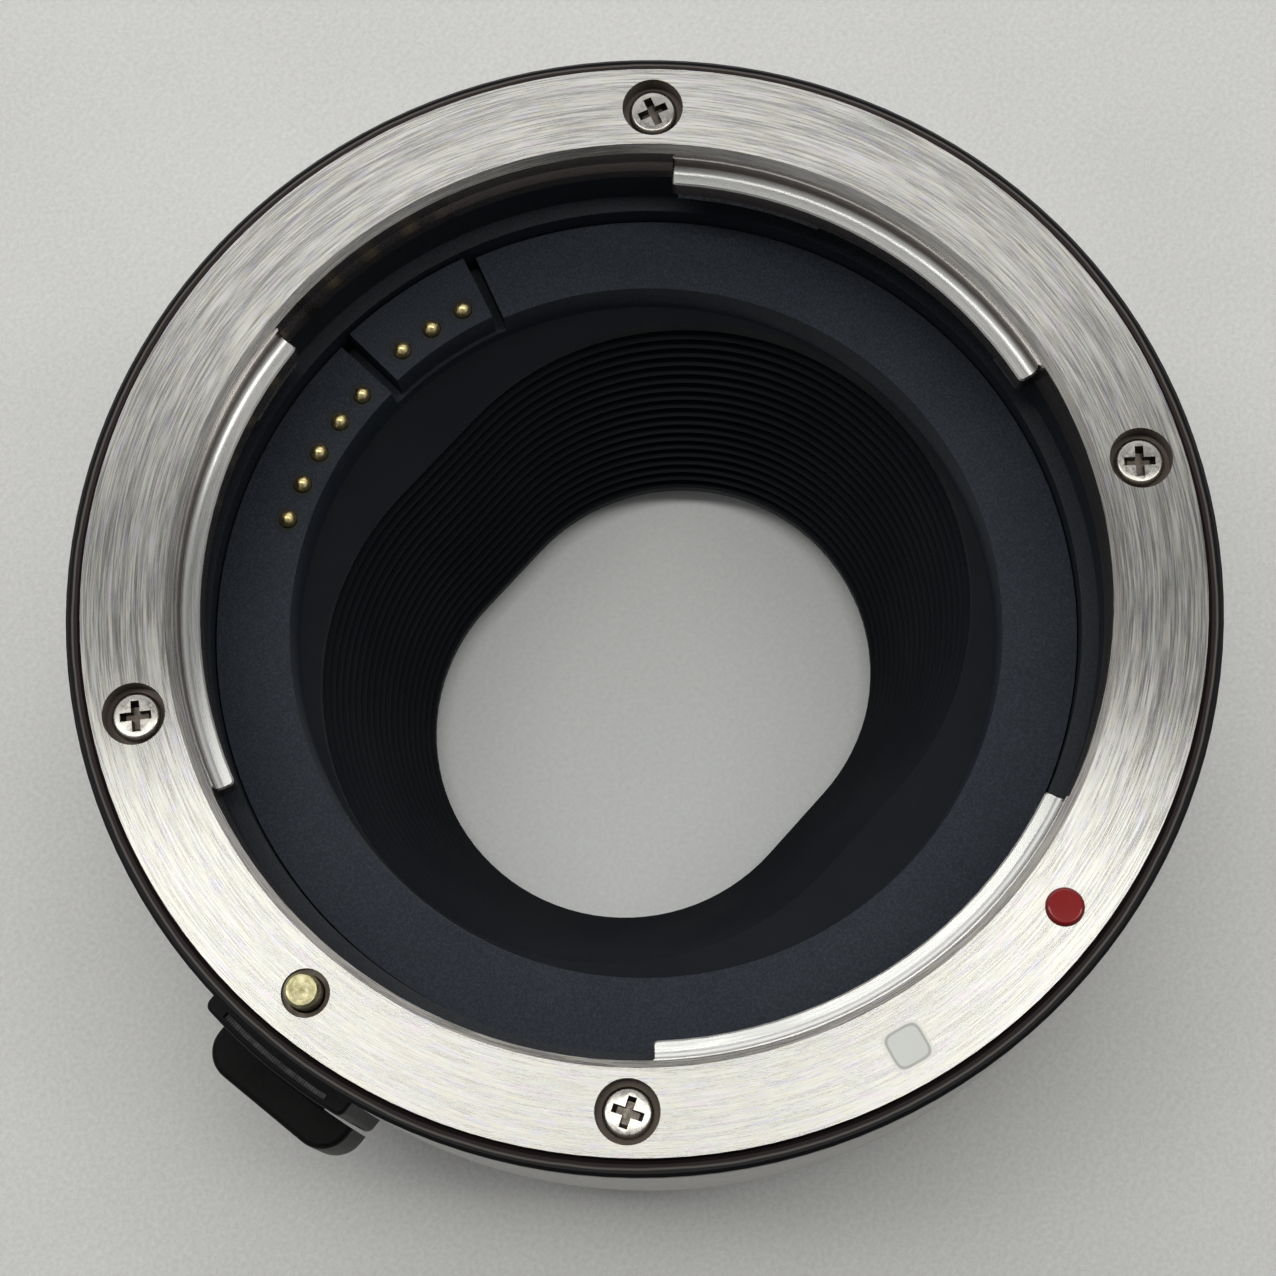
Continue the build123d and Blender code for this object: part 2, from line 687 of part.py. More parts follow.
# Light baffle: flange, tapered tube, shoulder and saw-tooth ribs
with BuildPart() as light_baffle:
    flange_height = housing_lip_depth - shoulder_depth
    extrude(disc(ring_radius, 0, shoulder_depth), amount=-flange_height)
    tube = stadium(tube_half_width, baffle_top_half_centres, rib_start_depth)
    extrude(tube, amount=-tube_height, taper=degrees(atan(tube_drop / tube_height)))
    shoulder_outer = ring_bore_radius - ring_bore_taper
    shoulder_inner = baffle_top_half_width
    revolve(
        turned(
            [
                (0, shoulder_depth),
                (shoulder_outer, shoulder_depth),
                (shoulder_inner, rib_start_depth),
                (0, rib_start_depth),
            ]
        ),
        axis=Axis.Z,
        mode=Mode.SUBTRACT,
    )
    top_mouth = stadium(baffle_top_half_width, baffle_top_half_centres, shoulder_depth)
    extrude(top_mouth, amount=-shoulder_height, mode=Mode.SUBTRACT)
    groove_taper = degrees(atan(rib_groove / rib_pitch))
    half_centres_step = (baffle_top_half_centres - baffle_end_half_centres) / rib_count
    for rib in range(rib_count):
        rib_depth = rib_start_depth + rib * rib_pitch
        half_width = baffle_top_half_width - rib * rib_pitch * funnel_slope
        half_centres = baffle_top_half_centres - rib * half_centres_step
        groove = stadium(half_width, half_centres, rib_depth)
        extrude(groove, amount=-rib_pitch, taper=-groove_taper, mode=Mode.SUBTRACT)
    mouth = stadium(baffle_end_half_width, baffle_end_half_centres, rib_end_depth)
    extrude(mouth, amount=rib_end_depth - baffle_end_depth, mode=Mode.SUBTRACT)
    notch_start = contact_middle - carrier_span / 2 - carrier_side_angle
    notch_end = contact_middle + carrier_span / 2 + carrier_side_angle
    notch_inner = carrier_inner_radius - 2 * running_gap
    notch = sector(ring_radius + cut_margin, notch_inner, notch_start, notch_end, shoulder_depth)
    extrude(notch, amount=-flange_height, mode=Mode.SUBTRACT)
    with Locations(*seats(ring_screw_circle_radius, ring_screw_angles, shoulder_depth)):
        Hole(small_screw_hole_radius, depth=flange_height)


def screw_group(radius, angles, seat_depth, reach):
    """Small screws whose heads hang below their seats."""
    with BuildPart() as group:
        with Locations(*seats(radius, angles, seat_depth)):
            hang = (Align.CENTER, Align.CENTER, Align.MAX)
            stand = (Align.CENTER, Align.CENTER, Align.MIN)
            Cylinder(small_screw_head_radius, small_screw_head_height, align=hang)
            Cylinder(small_screw_shank_radius, reach, align=stand)
    return group


# Screws that hold the inner housing to the barrel and the contact ring to the housing
housing_screw_reach = housing_flange_foot - shelf_depth + housing_screw_bite - 2 * running_gap
housing_screws = screw_group(
    housing_screw_circle_radius, housing_screw_angles, housing_flange_foot, housing_screw_reach
)
ring_screw_reach = housing_foot_depth - ring_foot_depth + ring_screw_bite - 2 * running_gap
contact_ring_screws = screw_group(
    ring_screw_circle_radius, ring_screw_angles, housing_foot_depth, ring_screw_reach
)

# Lever bezel: curved guard on the barrel, with a neck through the barrel's window
with BuildPart() as lever_bezel:
    guard_height = lever_bezel_end_depth - lever_bezel_depth
    guard = disc(lever_bezel_radius, barrel_radius + running_gap, lever_bezel_depth)
    extrude(guard, amount=-guard_height)
    with Locations((barrel_radius, 0, -lever_bezel_depth)):
        Box(
            barrel_radius,
            2 * lever_bezel_half_width,
            guard_height,
            align=(Align.CENTER, Align.CENTER, Align.MAX),
            mode=Mode.INTERSECT,
        )
    fillet(lever_bezel.edges().filter_by(Axis.Z).sort_by(Axis.X)[-2:], lever_bezel_corner)
    outer_face = lever_bezel.faces().sort_by(Axis.X)[-1]
    fillet(outer_face.edges().filter_by(Axis.Z, reverse=True), lever_bezel_edge)
    groove_outer = lever_bezel_radius - lever_bezel_groove_inset
    groove_inner = groove_outer - lever_bezel_groove_width
    half_span = lever_bezel_groove_span / 2
    groove = sector(groove_outer, groove_inner, -half_span, half_span, lever_bezel_depth)
    extrude(groove, amount=-lever_bezel_groove_depth, mode=Mode.SUBTRACT)
    with BuildSketch(Plane.YZ.offset(barrel_bore_radius)):
        with Locations((0, -(window_top_depth + window_foot_depth) / 2)):
            Rectangle(2 * window_half_width, window_foot_depth - window_top_depth)
    extrude(amount=lever_bezel_radius - barrel_bore_radius - lever_bezel_edge)
    slot_top = stem_depth - slide_gap
    slot_foot = stem_foot_depth + lock_travel + slide_gap
    with BuildSketch(Plane.YZ.offset(barrel_bore_radius)):
        with Locations((0, -(slot_top + slot_foot) / 2)):
            Rectangle(2 * (stem_half_width + slide_gap), slot_foot - slot_top)
    extrude(amount=lever_bezel_radius, mode=Mode.SUBTRACT)

# Release lever: finger block outside the barrel and the stem through the slot
with BuildPart() as release_lever:
    lever_back = lever_bezel_radius + slide_gap
    with BuildSketch(level(lever_depth)):
        with Locations((lever_reach, 0)):
            Rectangle(lever_reach - barrel_bore_radius, 2 * lever_half_width, align=(Align.MAX, Align.CENTER))
    extrude(amount=-lever_height)
    fillet(release_lever.edges().filter_by(Axis.Z).sort_by(Axis.X)[-2:], lever_corner)
    extrude(disc(lever_back, 0, lever_depth), amount=-lever_height, mode=Mode.SUBTRACT)
    fillet(release_lever.faces().sort_by(Axis.X)[-1].edges(), lever_edge)
    with Locations((lock_pin_circle_radius, 0, -stem_depth)):
        stem_length = lever_back + lever_edge - lock_pin_circle_radius
        Box(stem_length, 2 * stem_half_width, stem_height, align=(Align.MIN, Align.CENTER, Align.MAX))
    with Locations((lock_pin_circle_radius, 0, -stem_depth)):
        Hole(lock_pin_radius + running_gap, depth=stem_height)

# Lever carriage: the slide inside the barrel, with a socket for the stem
with BuildPart() as lever_carriage:
    carriage_inner = housing_radius + slide_gap
    carriage_outer = barrel_bore_radius - carriage_outer_gap
    extrude(disc(carriage_outer, carriage_inner, carriage_depth), amount=-carriage_height)
    with Locations((barrel_bore_radius, 0, -carriage_depth)):
        Box(
            barrel_bore_radius,
            2 * carriage_half_width,
            carriage_height,
            align=(Align.CENTER, Align.CENTER, Align.MAX),
            mode=Mode.INTERSECT,
        )
    with Locations((lock_pin_circle_radius - running_gap, 0, -stem_depth + running_gap)):
        Box(
            barrel_bore_radius,
            2 * (stem_half_width + running_gap),
            stem_height + 2 * running_gap,
            align=(Align.MIN, Align.CENTER, Align.MAX),
            mode=Mode.SUBTRACT,
        )
    with Locations(*seats(lock_pin_circle_radius, [0], carriage_depth)):
        Hole(lock_pin_radius, depth=carriage_height)

# Lock pin
with BuildPart() as lock_pin:
    pin_length = carriage_foot_depth + lock_pin_rise
    with Locations((lock_pin_circle_radius, 0, lock_pin_rise)):
        Cylinder(lock_pin_radius, pin_length, align=(Align.CENTER, Align.CENTER, Align.MAX))
    chamfer(lock_pin.edges().group_by(Axis.Z)[-1], lock_pin_chamfer)
    with Locations((lock_pin_circle_radius, 0, -carriage_foot_depth)):
        Cylinder(lock_pin_tail_radius, lock_pin_tail_length, align=(Align.CENTER, Align.CENTER, Align.MAX))

# Lock pin spring, between the carriage and the barrel's floor
with BuildPart() as lock_pin_spring:
    spring_height = barrel_floor_depth - carriage_foot_depth - 2 * running_gap
    with Locations((lock_pin_circle_radius, 0, running_gap - barrel_floor_depth)):
        add(coil(lock_spring_radius, lock_spring_wire, lock_spring_turns, spring_height))

# Camera mount ring: flange, neck and three lugs
with BuildPart() as camera_mount_ring:
    revolve(
        turned(
            [
                (camera_seat_radius, barrel_end_depth),
                (camera_flange_radius, barrel_end_depth),
                (camera_flange_radius, flange_distance),
                (camera_relief_radius, flange_distance),
                (camera_relief_radius, flange_distance - camera_relief_depth),
                (camera_neck_radius, flange_distance - camera_relief_depth),
                (camera_neck_radius, camera_end_depth),
                (camera_bore_radius, camera_end_depth),
                (camera_bore_radius, barrel_end_depth + camera_seat_thickness),
                (camera_seat_radius, barrel_end_depth + camera_seat_thickness),
            ]
        ),
        axis=Axis.Z,
    )
    for angle in lug_angles:
        lug_inner = camera_neck_radius - (camera_neck_radius - camera_bore_radius) / 2
        lug_outer = camera_neck_radius + lug_reach
        lug = sector(lug_outer, lug_inner, angle - lug_span / 2, angle + lug_span / 2, lug_depth)
        extrude(lug, amount=-lug_thickness)
    with BuildSketch(below(flange_distance)):
        with Locations(point(lock_slot_circle_radius, -lock_slot_angle)):
            SlotOverall(3 * lock_slot_radius, 2 * lock_slot_radius)
    extrude(amount=-lock_slot_depth, mode=Mode.SUBTRACT)
    for angle in camera_screw_angles:
        with Locations(below(flange_distance)):
            with Locations(point(camera_screw_circle_radius, -angle)):
                CounterSinkHole(
                    small_screw_hole_radius, camera_screw_head_radius, depth=camera_flange_thickness
                )

# Camera mount screws, countersunk
with BuildPart() as camera_mount_screws:
    sink = camera_screw_head_radius - small_screw_shank_radius
    profile = [
        (0, 0),
        (camera_screw_head_radius - running_gap, 0),
        (small_screw_shank_radius, sink),
        (small_screw_shank_radius, camera_screw_length),
        (0, camera_screw_length),
    ]
    with BuildSketch(Plane.XZ):
        with BuildLine():
            Polyline([(radius, height) for radius, height in profile], close=True)
        make_face()
    revolve(axis=Axis.Z)
    with BuildSketch():
        Rectangle(cross_span, cross_arm)
        Rectangle(cross_arm, cross_span)
    extrude(amount=cross_depth, mode=Mode.SUBTRACT)
camera_screw = camera_mount_screws.part

with BuildPart() as camera_mount_screws:
    with Locations(*seats(camera_screw_circle_radius, camera_screw_angles, flange_distance)):
        add(camera_screw)

# Rear cover: plate inside the male bayonet, round the baffle
with BuildPart() as rear_cover:
    extrude(disc(cover_radius, 0, cover_depth), amount=-cover_thickness)
    cover_drop = (cover_depth - rib_start_depth) * tube_drop / tube_height
    hole = stadium(tube_half_width - cover_drop + cover_gap, baffle_top_half_centres, cover_depth)
    extrude(hole, amount=-cover_thickness, mode=Mode.SUBTRACT)
    with BuildSketch(level(cover_depth)):
        slit_place = point(flex_offset + flex_thickness / 2, baffle_turn - 90)
        with Locations(Location((*slit_place, 0), (0, 0, baffle_turn))):
            Rectangle(flex_width + 4 * cover_gap, flex_thickness + 2 * cover_gap)
    extrude(amount=-cover_thickness, mode=Mode.SUBTRACT)

# Rear contact block and its pads
rear_middle = -90.0
with BuildPart() as rear_contact_block:
    rear_start = rear_middle - rear_block_span / 2
    rear_end = rear_middle + rear_block_span / 2
    block = sector(cover_radius, rear_block_inner_radius, rear_start, rear_end, rear_block_depth)
    extrude(block, amount=-rear_block_height)
    pad_angles = [rear_middle + (i - (pad_count - 1) / 2) * pad_pitch_angle for i in range(pad_count)]
    with Locations(*seats(pad_circle_radius, pad_angles, rear_block_foot)):
        pad_seat = pad_thickness - pad_proud
        Box(pad_length, pad_width, 2 * pad_seat, mode=Mode.SUBTRACT)

rear_contact_pads = []
for angle in pad_angles:
    with BuildPart() as rear_pad:
        with Locations(*seats(pad_circle_radius, [angle], rear_block_foot + pad_proud)):
            Box(pad_length, pad_width, pad_thickness, align=(Align.CENTER, Align.CENTER, Align.MIN))
    rear_contact_pads.append(rear_pad)

pieces = {
    "lens_mount_ring": lens_mount_ring,
    "lens_mount_screws": lens_mount_screws,
    "red_index_dot": red_index_dot,
    "white_index_square": white_index_square,
    "top_bezel": top_bezel,
    "barrel": barrel,
    "camera_index_dot": camera_index_dot,
    "inner_housing": inner_housing,
    "housing_screws": housing_screws,
    "contact_ring": contact_ring,
    "contact_ring_screws": contact_ring_screws,
    "raised_contact_block": raised_contact_block,
    "contact_carrier": contact_carrier,
    "flex_circuit": flex_circuit,
    "light_baffle": light_baffle,
    "lever_bezel": lever_bezel,
    "release_lever": release_lever,
    "lever_carriage": lever_carriage,
    "lock_pin": lock_pin,
    "lock_pin_spring": lock_pin_spring,
    "camera_mount_ring": camera_mount_ring,
    "camera_mount_screws": camera_mount_screws,
    "rear_cover": rear_cover,
    "rear_contact_block": rear_contact_block,
}
for number, leaf_spring in enumerate(leaf_springs, start=1):
    pieces[f"mount_leaf_spring_{number}"] = leaf_spring
for number, (pin, spring) in enumerate(zip(contact_pins, contact_springs), start=1):
    pieces[f"contact_pin_{number}"] = pin
    pieces[f"contact_spring_{number}"] = spring
for number, rear_pad in enumerate(rear_contact_pads, start=1):
    pieces[f"rear_contact_pad_{number}"] = rear_pad

for name, piece in pieces.items():
    piece.part.label = name
    export_step(piece.part, f"parts/{name}.step")
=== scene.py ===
import logging
import math
from abc import ABC, abstractmethod
from dataclasses import dataclass, field
from enum import Enum

import bmesh
import bpy
from mathutils import Matrix, Vector


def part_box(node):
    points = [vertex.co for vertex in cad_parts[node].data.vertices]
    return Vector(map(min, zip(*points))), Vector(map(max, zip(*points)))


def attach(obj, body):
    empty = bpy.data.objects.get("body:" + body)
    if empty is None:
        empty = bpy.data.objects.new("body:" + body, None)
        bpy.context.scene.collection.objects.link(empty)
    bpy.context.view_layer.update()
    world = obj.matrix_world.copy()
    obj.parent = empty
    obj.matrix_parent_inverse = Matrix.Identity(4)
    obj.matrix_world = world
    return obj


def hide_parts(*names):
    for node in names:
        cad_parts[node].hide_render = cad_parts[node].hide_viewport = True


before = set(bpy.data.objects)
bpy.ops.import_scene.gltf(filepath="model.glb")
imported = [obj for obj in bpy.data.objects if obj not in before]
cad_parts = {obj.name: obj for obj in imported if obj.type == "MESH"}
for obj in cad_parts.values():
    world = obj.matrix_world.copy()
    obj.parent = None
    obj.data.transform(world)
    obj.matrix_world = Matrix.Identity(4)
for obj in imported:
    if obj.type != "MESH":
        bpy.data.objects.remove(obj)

LOG = logging.getLogger("lens_mount_adapter")
MM = 0.001

Colour = tuple[float, float, float]
Place = tuple[float, float]
Socket = bpy.types.NodeSocket


class Grain(Enum):
    """How the fine marks of a finish run over its surface."""

    AROUND_AXIS = "around_axis"
    EVERY_WAY = "every_way"


class ShaderTree:
    """Node tree of one material, with short calls for the nodes that the finishes share."""

    def __init__(self, name: str) -> None:
        """Start an empty material with one principled shader.

        Args:
            name: The material's name.
        """
        self.material = bpy.data.materials.new(name)
        self.material.use_nodes = True
        self.tree = self.material.node_tree
        self.tree.nodes.clear()
        output = self.tree.nodes.new("ShaderNodeOutputMaterial")
        self.shader = self.tree.nodes.new("ShaderNodeBsdfPrincipled")
        self.tree.links.new(self.shader.outputs["BSDF"], output.inputs["Surface"])
        self.place = self.tree.nodes.new("ShaderNodeTexCoord").outputs["Object"]

    def set(self, **values: float | tuple[float, ...]) -> None:
        """Set sockets of the shader, with underscores for the spaces in their names.

        Args:
            values: Socket names and their values.
        """
        for name, value in values.items():
            self.shader.inputs[name.replace("_", " ").title().replace("Ior", "IOR")].default_value = value

    def link(self, socket: Socket, name: str) -> None:
        """Feed a socket of the shader.

        Args:
            socket: The output that feeds it.
            name: The shader socket's name.
        """
        self.feed(self.shader.inputs[name], socket)

    def feed(self, slot: Socket, value: Socket | Colour | float) -> None:
        """Link a socket to a node's input, or write a colour or a number there.

        Args:
            slot: The node's input.
            value: What it takes.
        """
        if isinstance(value, Socket):
            self.tree.links.new(value, slot)
        elif isinstance(value, tuple):
            slot.default_value = (*value, 1.0)
        else:
            slot.default_value = value

    def math(self, operation: str, first: Socket | float, second: Socket | float = 0.0) -> Socket:
        """Add a math node.

        Args:
            operation: Blender's name of the operation.
            first: Its first input, a socket or a number.
            second: Its second input, a socket or a number.

        Returns:
            The result's socket.
        """
        node = self.tree.nodes.new("ShaderNodeMath")
        node.operation = operation
        for slot, value in zip(node.inputs, (first, second)):
            self.feed(slot, value)
        return node.outputs[0]

    def parts(self, vector: Socket) -> tuple[Socket, ...]:
        """Split a vector into its three numbers.

        Args:
            vector: The vector's socket.

        Returns:
            The sockets of x, y and z.
        """
        node = self.tree.nodes.new("ShaderNodeSeparateXYZ")
        self.feed(node.inputs[0], vector)
        return tuple(node.outputs)

    def vector(self, *numbers: Socket | float) -> Socket:
        """Join three numbers into a vector.

        Args:
            numbers: x, y and z, each a socket or a number.

        Returns:
            The vector's socket.
        """
        node = self.tree.nodes.new("ShaderNodeCombineXYZ")
        for slot, value in zip(node.inputs, numbers):
            self.feed(slot, value)
        return node.outputs[0]

    def radius(self, centre: Place = (0.0, 0.0)) -> Socket:
        """Distance from an axis parallel to Z.

        Args:
            centre: Where the axis stands, in metres.

        Returns:
            The distance's socket.
        """
        x, y, _ = self.parts(self.place)
        x = self.math("SUBTRACT", x, centre[0])
        y = self.math("SUBTRACT", y, centre[1])
        return self.math("SQRT", self.math("ADD", self.math("MULTIPLY", x, x), self.math("MULTIPLY", y, y)))

    def turned_place(self, across: float, along: float, centre: Place = (0.0, 0.0)) -> Socket:
        """Coordinates for marks that run round an axis parallel to Z, with no seam.

        Args:
            across: Marks per metre along the radius and the height.
            along: Marks per radian round the axis.
            centre: Where the axis stands, in metres.

        Returns:
            The vector's socket.
        """
        x, y, z = self.parts(self.place)
        x = self.math("SUBTRACT", x, centre[0])
        y = self.math("SUBTRACT", y, centre[1])
        radius = self.radius(centre)
        safe = self.math("MAXIMUM", radius, 1e-6)
        level = self.math("MULTIPLY", self.math("ADD", radius, z), across)
        around_x = self.math("MULTIPLY", self.math("DIVIDE", x, safe), along)
        around_y = self.math("MULTIPLY", self.math("DIVIDE", y, safe), along)
        return self.vector(level, around_x, around_y)

    def noise(self, scale: float, detail: float, roughness: float, place: Socket | None = None) -> Socket:
        """Add a noise texture.

        Args:
            scale: Its scale.
            detail: Its octaves.
            roughness: How strong the finer octaves are.
            place: Its coordinates, or None for the object's own.

        Returns:
            The socket of its grey value.
        """
        node = self.tree.nodes.new("ShaderNodeTexNoise")
        self.feed(node.inputs["Vector"], place if place is not None else self.place)
        node.inputs["Scale"].default_value = scale
        node.inputs["Detail"].default_value = detail
        node.inputs["Roughness"].default_value = roughness
        return node.outputs[0]

    def ramp(self, value: Socket, stops: tuple[tuple[float, Colour], ...]) -> Socket:
        """Turn a number into a colour.

        Args:
            value: The number's socket.
            stops: Positions from 0 to 1 and their colours.

        Returns:
            The colour's socket.
        """
        node = self.tree.nodes.new("ShaderNodeValToRGB")
        self.feed(node.inputs[0], value)
        steps = node.color_ramp.elements
        while len(steps) < len(stops):
            steps.new(0.5)
        for step, (position, colour) in zip(steps, stops):
            step.position = position
            step.color = (*colour, 1.0)
        return node.outputs[0]

    def spread(
        self, value: Socket, low: float = 0.0, high: float = 1.0, start: float = 0.3, end: float = 0.7
    ) -> Socket:
        """Stretch a number from one span to another.

        Args:
            value: The number's socket.
            low: The result at the span's start.
            high: The result at the span's end.
            start: Where the span starts.
            end: Where the span ends.

        Returns:
            The result's socket.
        """
        node = self.tree.nodes.new("ShaderNodeMapRange")
        for slot, number in zip(node.inputs, (value, start, end, low, high)):
            self.feed(slot, number)
        return node.outputs[0]

    def mix(
        self, share: Socket | float, first: Socket | Colour, second: Socket | Colour, way: str = "MIX"
    ) -> Socket:
        """Mix two colours.

        Args:
            share: How much of the second, a socket or a number.
            first: A colour or its socket.
            second: A colour or its socket.
            way: Blender's name of the way they mix.

        Returns:
            The mixed colour's socket.
        """
        node = self.tree.nodes.new("ShaderNodeMix")
        node.data_type = "RGBA"
        node.blend_type = way
        for slot, value in ((node.inputs[0], share), (node.inputs[6], first), (node.inputs[7], second)):
            self.feed(slot, value)
        return node.outputs[2]

    def tinted(self, colour: Socket, tint: Socket) -> Socket:
        """Multiply a colour by a tint, both given and returned as sockets."""
        return self.mix(1.0, colour, tint, "MULTIPLY")

    def blend(self, share: Socket, first: Socket | float, second: Socket | float) -> Socket:
        """Mix two numbers.

        Args:
            share: How much of the second.
            first: A number or its socket.
            second: A number or its socket.

        Returns:
            The mixed number's socket.
        """
        kept = self.math("MULTIPLY", self.math("SUBTRACT", 1.0, share), first)
        return self.math("ADD", kept, self.math("MULTIPLY", share, second))

    def steep(self, limit: float) -> Socket:
        """Tell steep surfaces from level ones.

        Args:
            limit: The normal's upward part, above which a surface is level.

        Returns:
            The socket of 1 on steep surfaces and 0 on level ones.
        """
        normal = self.tree.nodes.new("ShaderNodeNewGeometry").outputs["Normal"]
        upward = self.math("ABSOLUTE", self.parts(normal)[2])
        return self.math("LESS_THAN", upward, limit)

    def bump(self, height: Socket, depth: float, strength: float) -> None:
        """Give the shader a bump.

        Args:
            height: The height's socket, from 0 to 1.
            depth: The bump's depth, in metres.
            strength: How much of it shows.
        """
        node = self.tree.nodes.new("ShaderNodeBump")
        node.inputs["Strength"].default_value = strength
        node.inputs["Distance"].default_value = depth
        self.feed(node.inputs["Height"], height)
        self.link(node.outputs[0], "Normal")

    def radial_tangent(self) -> None:
        """Run the anisotropic highlight round Z."""
        node = self.tree.nodes.new("ShaderNodeTangent")
        node.direction_type = "RADIAL"
        node.axis = "Z"
        self.link(node.outputs[0], "Tangent")


class RoomTree(ShaderTree):
    """Node tree of the surroundings, with the same short calls."""

    def __init__(self, name: str) -> None:
        """Start an empty world with one background.

        Args:
            name: The world's name.
        """
        world = bpy.data.worlds.new(name)
        world.use_nodes = True
        bpy.context.scene.world = world
        self.tree = world.node_tree
        self.tree.nodes.clear()
        output = self.tree.nodes.new("ShaderNodeOutputWorld")
        self.shader = self.tree.nodes.new("ShaderNodeBackground")
        self.tree.links.new(self.shader.outputs["Background"], output.inputs["Surface"])
        self.place = self.tree.nodes.new("ShaderNodeTexCoord").outputs["Generated"]


class Finish(ABC):
    """Finish that builds its own material."""

    @abstractmethod
    def material(self) -> bpy.types.Material:
        """Build the finish's material.

        Returns:
            The new material.
        """


@dataclass(frozen=True)
class TurnedSteel(Finish):
    """Stainless steel brushed round its axis on the flange; upright walls polished, and painted dark as
    shade.

    The faces inside the bore, which are the tabs', are polished too, and the pockets sunk in the
    flange for screws and lock pin are painted dark, as the shade in them.
    """

    name: str
    bore: float = 27.0 * MM
    pockets: bool = True
    colour: Colour = (0.68, 0.67, 0.66)
    scratch: Colour = (0.39, 0.385, 0.39)
    tab: Colour = (0.60, 0.60, 0.59)
    # Dark colour of the upright walls: a painted shade.
    wall: Colour = (0.24, 0.205, 0.19)
    # Dark colour of the sunk pockets: a painted shade.
    pocket: Colour = (0.16, 0.135, 0.115)
    tints: tuple[tuple[float, Colour], ...] = (
        (0.32, (0.95, 0.95, 1.0)),
        (0.44, (1.0, 0.98, 0.9)),
        (0.56, (0.98, 1.0, 0.96)),
        (0.68, (1.0, 0.95, 0.98)),
    )
    pocket_roughness: float = 0.5
    pocket_circle: float = 29.85 * MM
    pocket_reach: float = 1.95 * MM
    pocket_level: float = -0.05 * MM
    roughness: float = 0.28
    wall_roughness: float = 0.2
    level_limit: float = 0.45
    marks: float = 10000.0
    marks_along: float = 8.0
    fine_share: float = 0.75
    anisotropy: float = 0.85
    highlight_turn: float = 0.25
    depth: float = 0.000012
    bump_strength: float = 0.5

    def brushing(
        self, tree: ShaderTree, across: float, along: float, detail: float, roughness: float
    ) -> Socket:
        """Brush marks round the axis.

        Args:
            tree: The material's tree.
            across: How close they lie, as a share of the finish's marks.
            along: How short they are, as a share of the finish's marks.
            detail: The noise's octaves.
            roughness: How strong the finer octaves are.

        Returns:
            The socket of their grey value.
        """
        place = tree.turned_place(self.marks * across, self.marks_along * along)
        return tree.noise(1.0, detail, roughness, place)

    def sunk_pockets(self, tree: ShaderTree) -> Socket:
        """Mask of the pockets for screws and lock pin, which take the painted shade.

        Args:
            tree: The material's tree.

        Returns:
            The socket of 1 in the pockets and 0 elsewhere.
        """
        off_circle = tree.math("ABSOLUTE", tree.math("SUBTRACT", tree.radius(), self.pocket_circle))
        sunk = tree.math("LESS_THAN", tree.parts(tree.place)[2], self.pocket_level)
        near = tree.math("LESS_THAN", off_circle, self.pocket_reach if self.pockets else 0.0)
        return tree.math("MULTIPLY", near, sunk)

    def material(self) -> bpy.types.Material:
        """Build the steel.

        Returns:
            The new material.
        """
        tree = ShaderTree(self.name)
        tree.set(metallic=1.0, anisotropic=self.anisotropy, anisotropic_rotation=self.highlight_turn)
        tree.radial_tangent()
        fine = self.brushing(tree, across=1.0, along=1.0, detail=3.0, roughness=0.7)
        broad = self.brushing(tree, across=0.15, along=0.2, detail=2.0, roughness=0.5)
        worn = tree.math(
            "ADD",
            tree.math("MULTIPLY", fine, self.fine_share),
            tree.math("MULTIPLY", broad, 1.0 - self.fine_share),
        )
        flange = tree.math("GREATER_THAN", tree.radius(), self.bore)
        brushed = tree.mix(tree.spread(worn, start=0.4, end=0.6), self.scratch, self.colour)
        hue = tree.ramp(self.brushing(tree, across=0.2, along=1.5, detail=2.0, roughness=0.5), self.tints)
        walls = tree.steep(self.level_limit)
        # Upright walls take the wall colour by their slope: painted shade over the real polish.
        metal = tree.mix(walls, tree.mix(flange, self.tab, tree.tinted(brushed, hue)), self.wall)
        # The sunk pockets take the pocket colour: painted shade in the recesses.
        pocket = self.sunk_pockets(tree)
        tree.link(tree.mix(pocket, metal, self.pocket), "Base Color")
        satin = tree.spread(worn, self.roughness * 0.8, self.roughness * 1.2, start=0.35, end=0.65)
        gloss = tree.blend(walls, satin, self.wall_roughness)
        tree.link(tree.blend(pocket, gloss, self.pocket_roughness), "Roughness")
        brushed_face = tree.math("SUBTRACT", flange, walls)
        tree.bump(tree.math("MULTIPLY", fine, brushed_face), self.depth, self.bump_strength)
        return tree.material


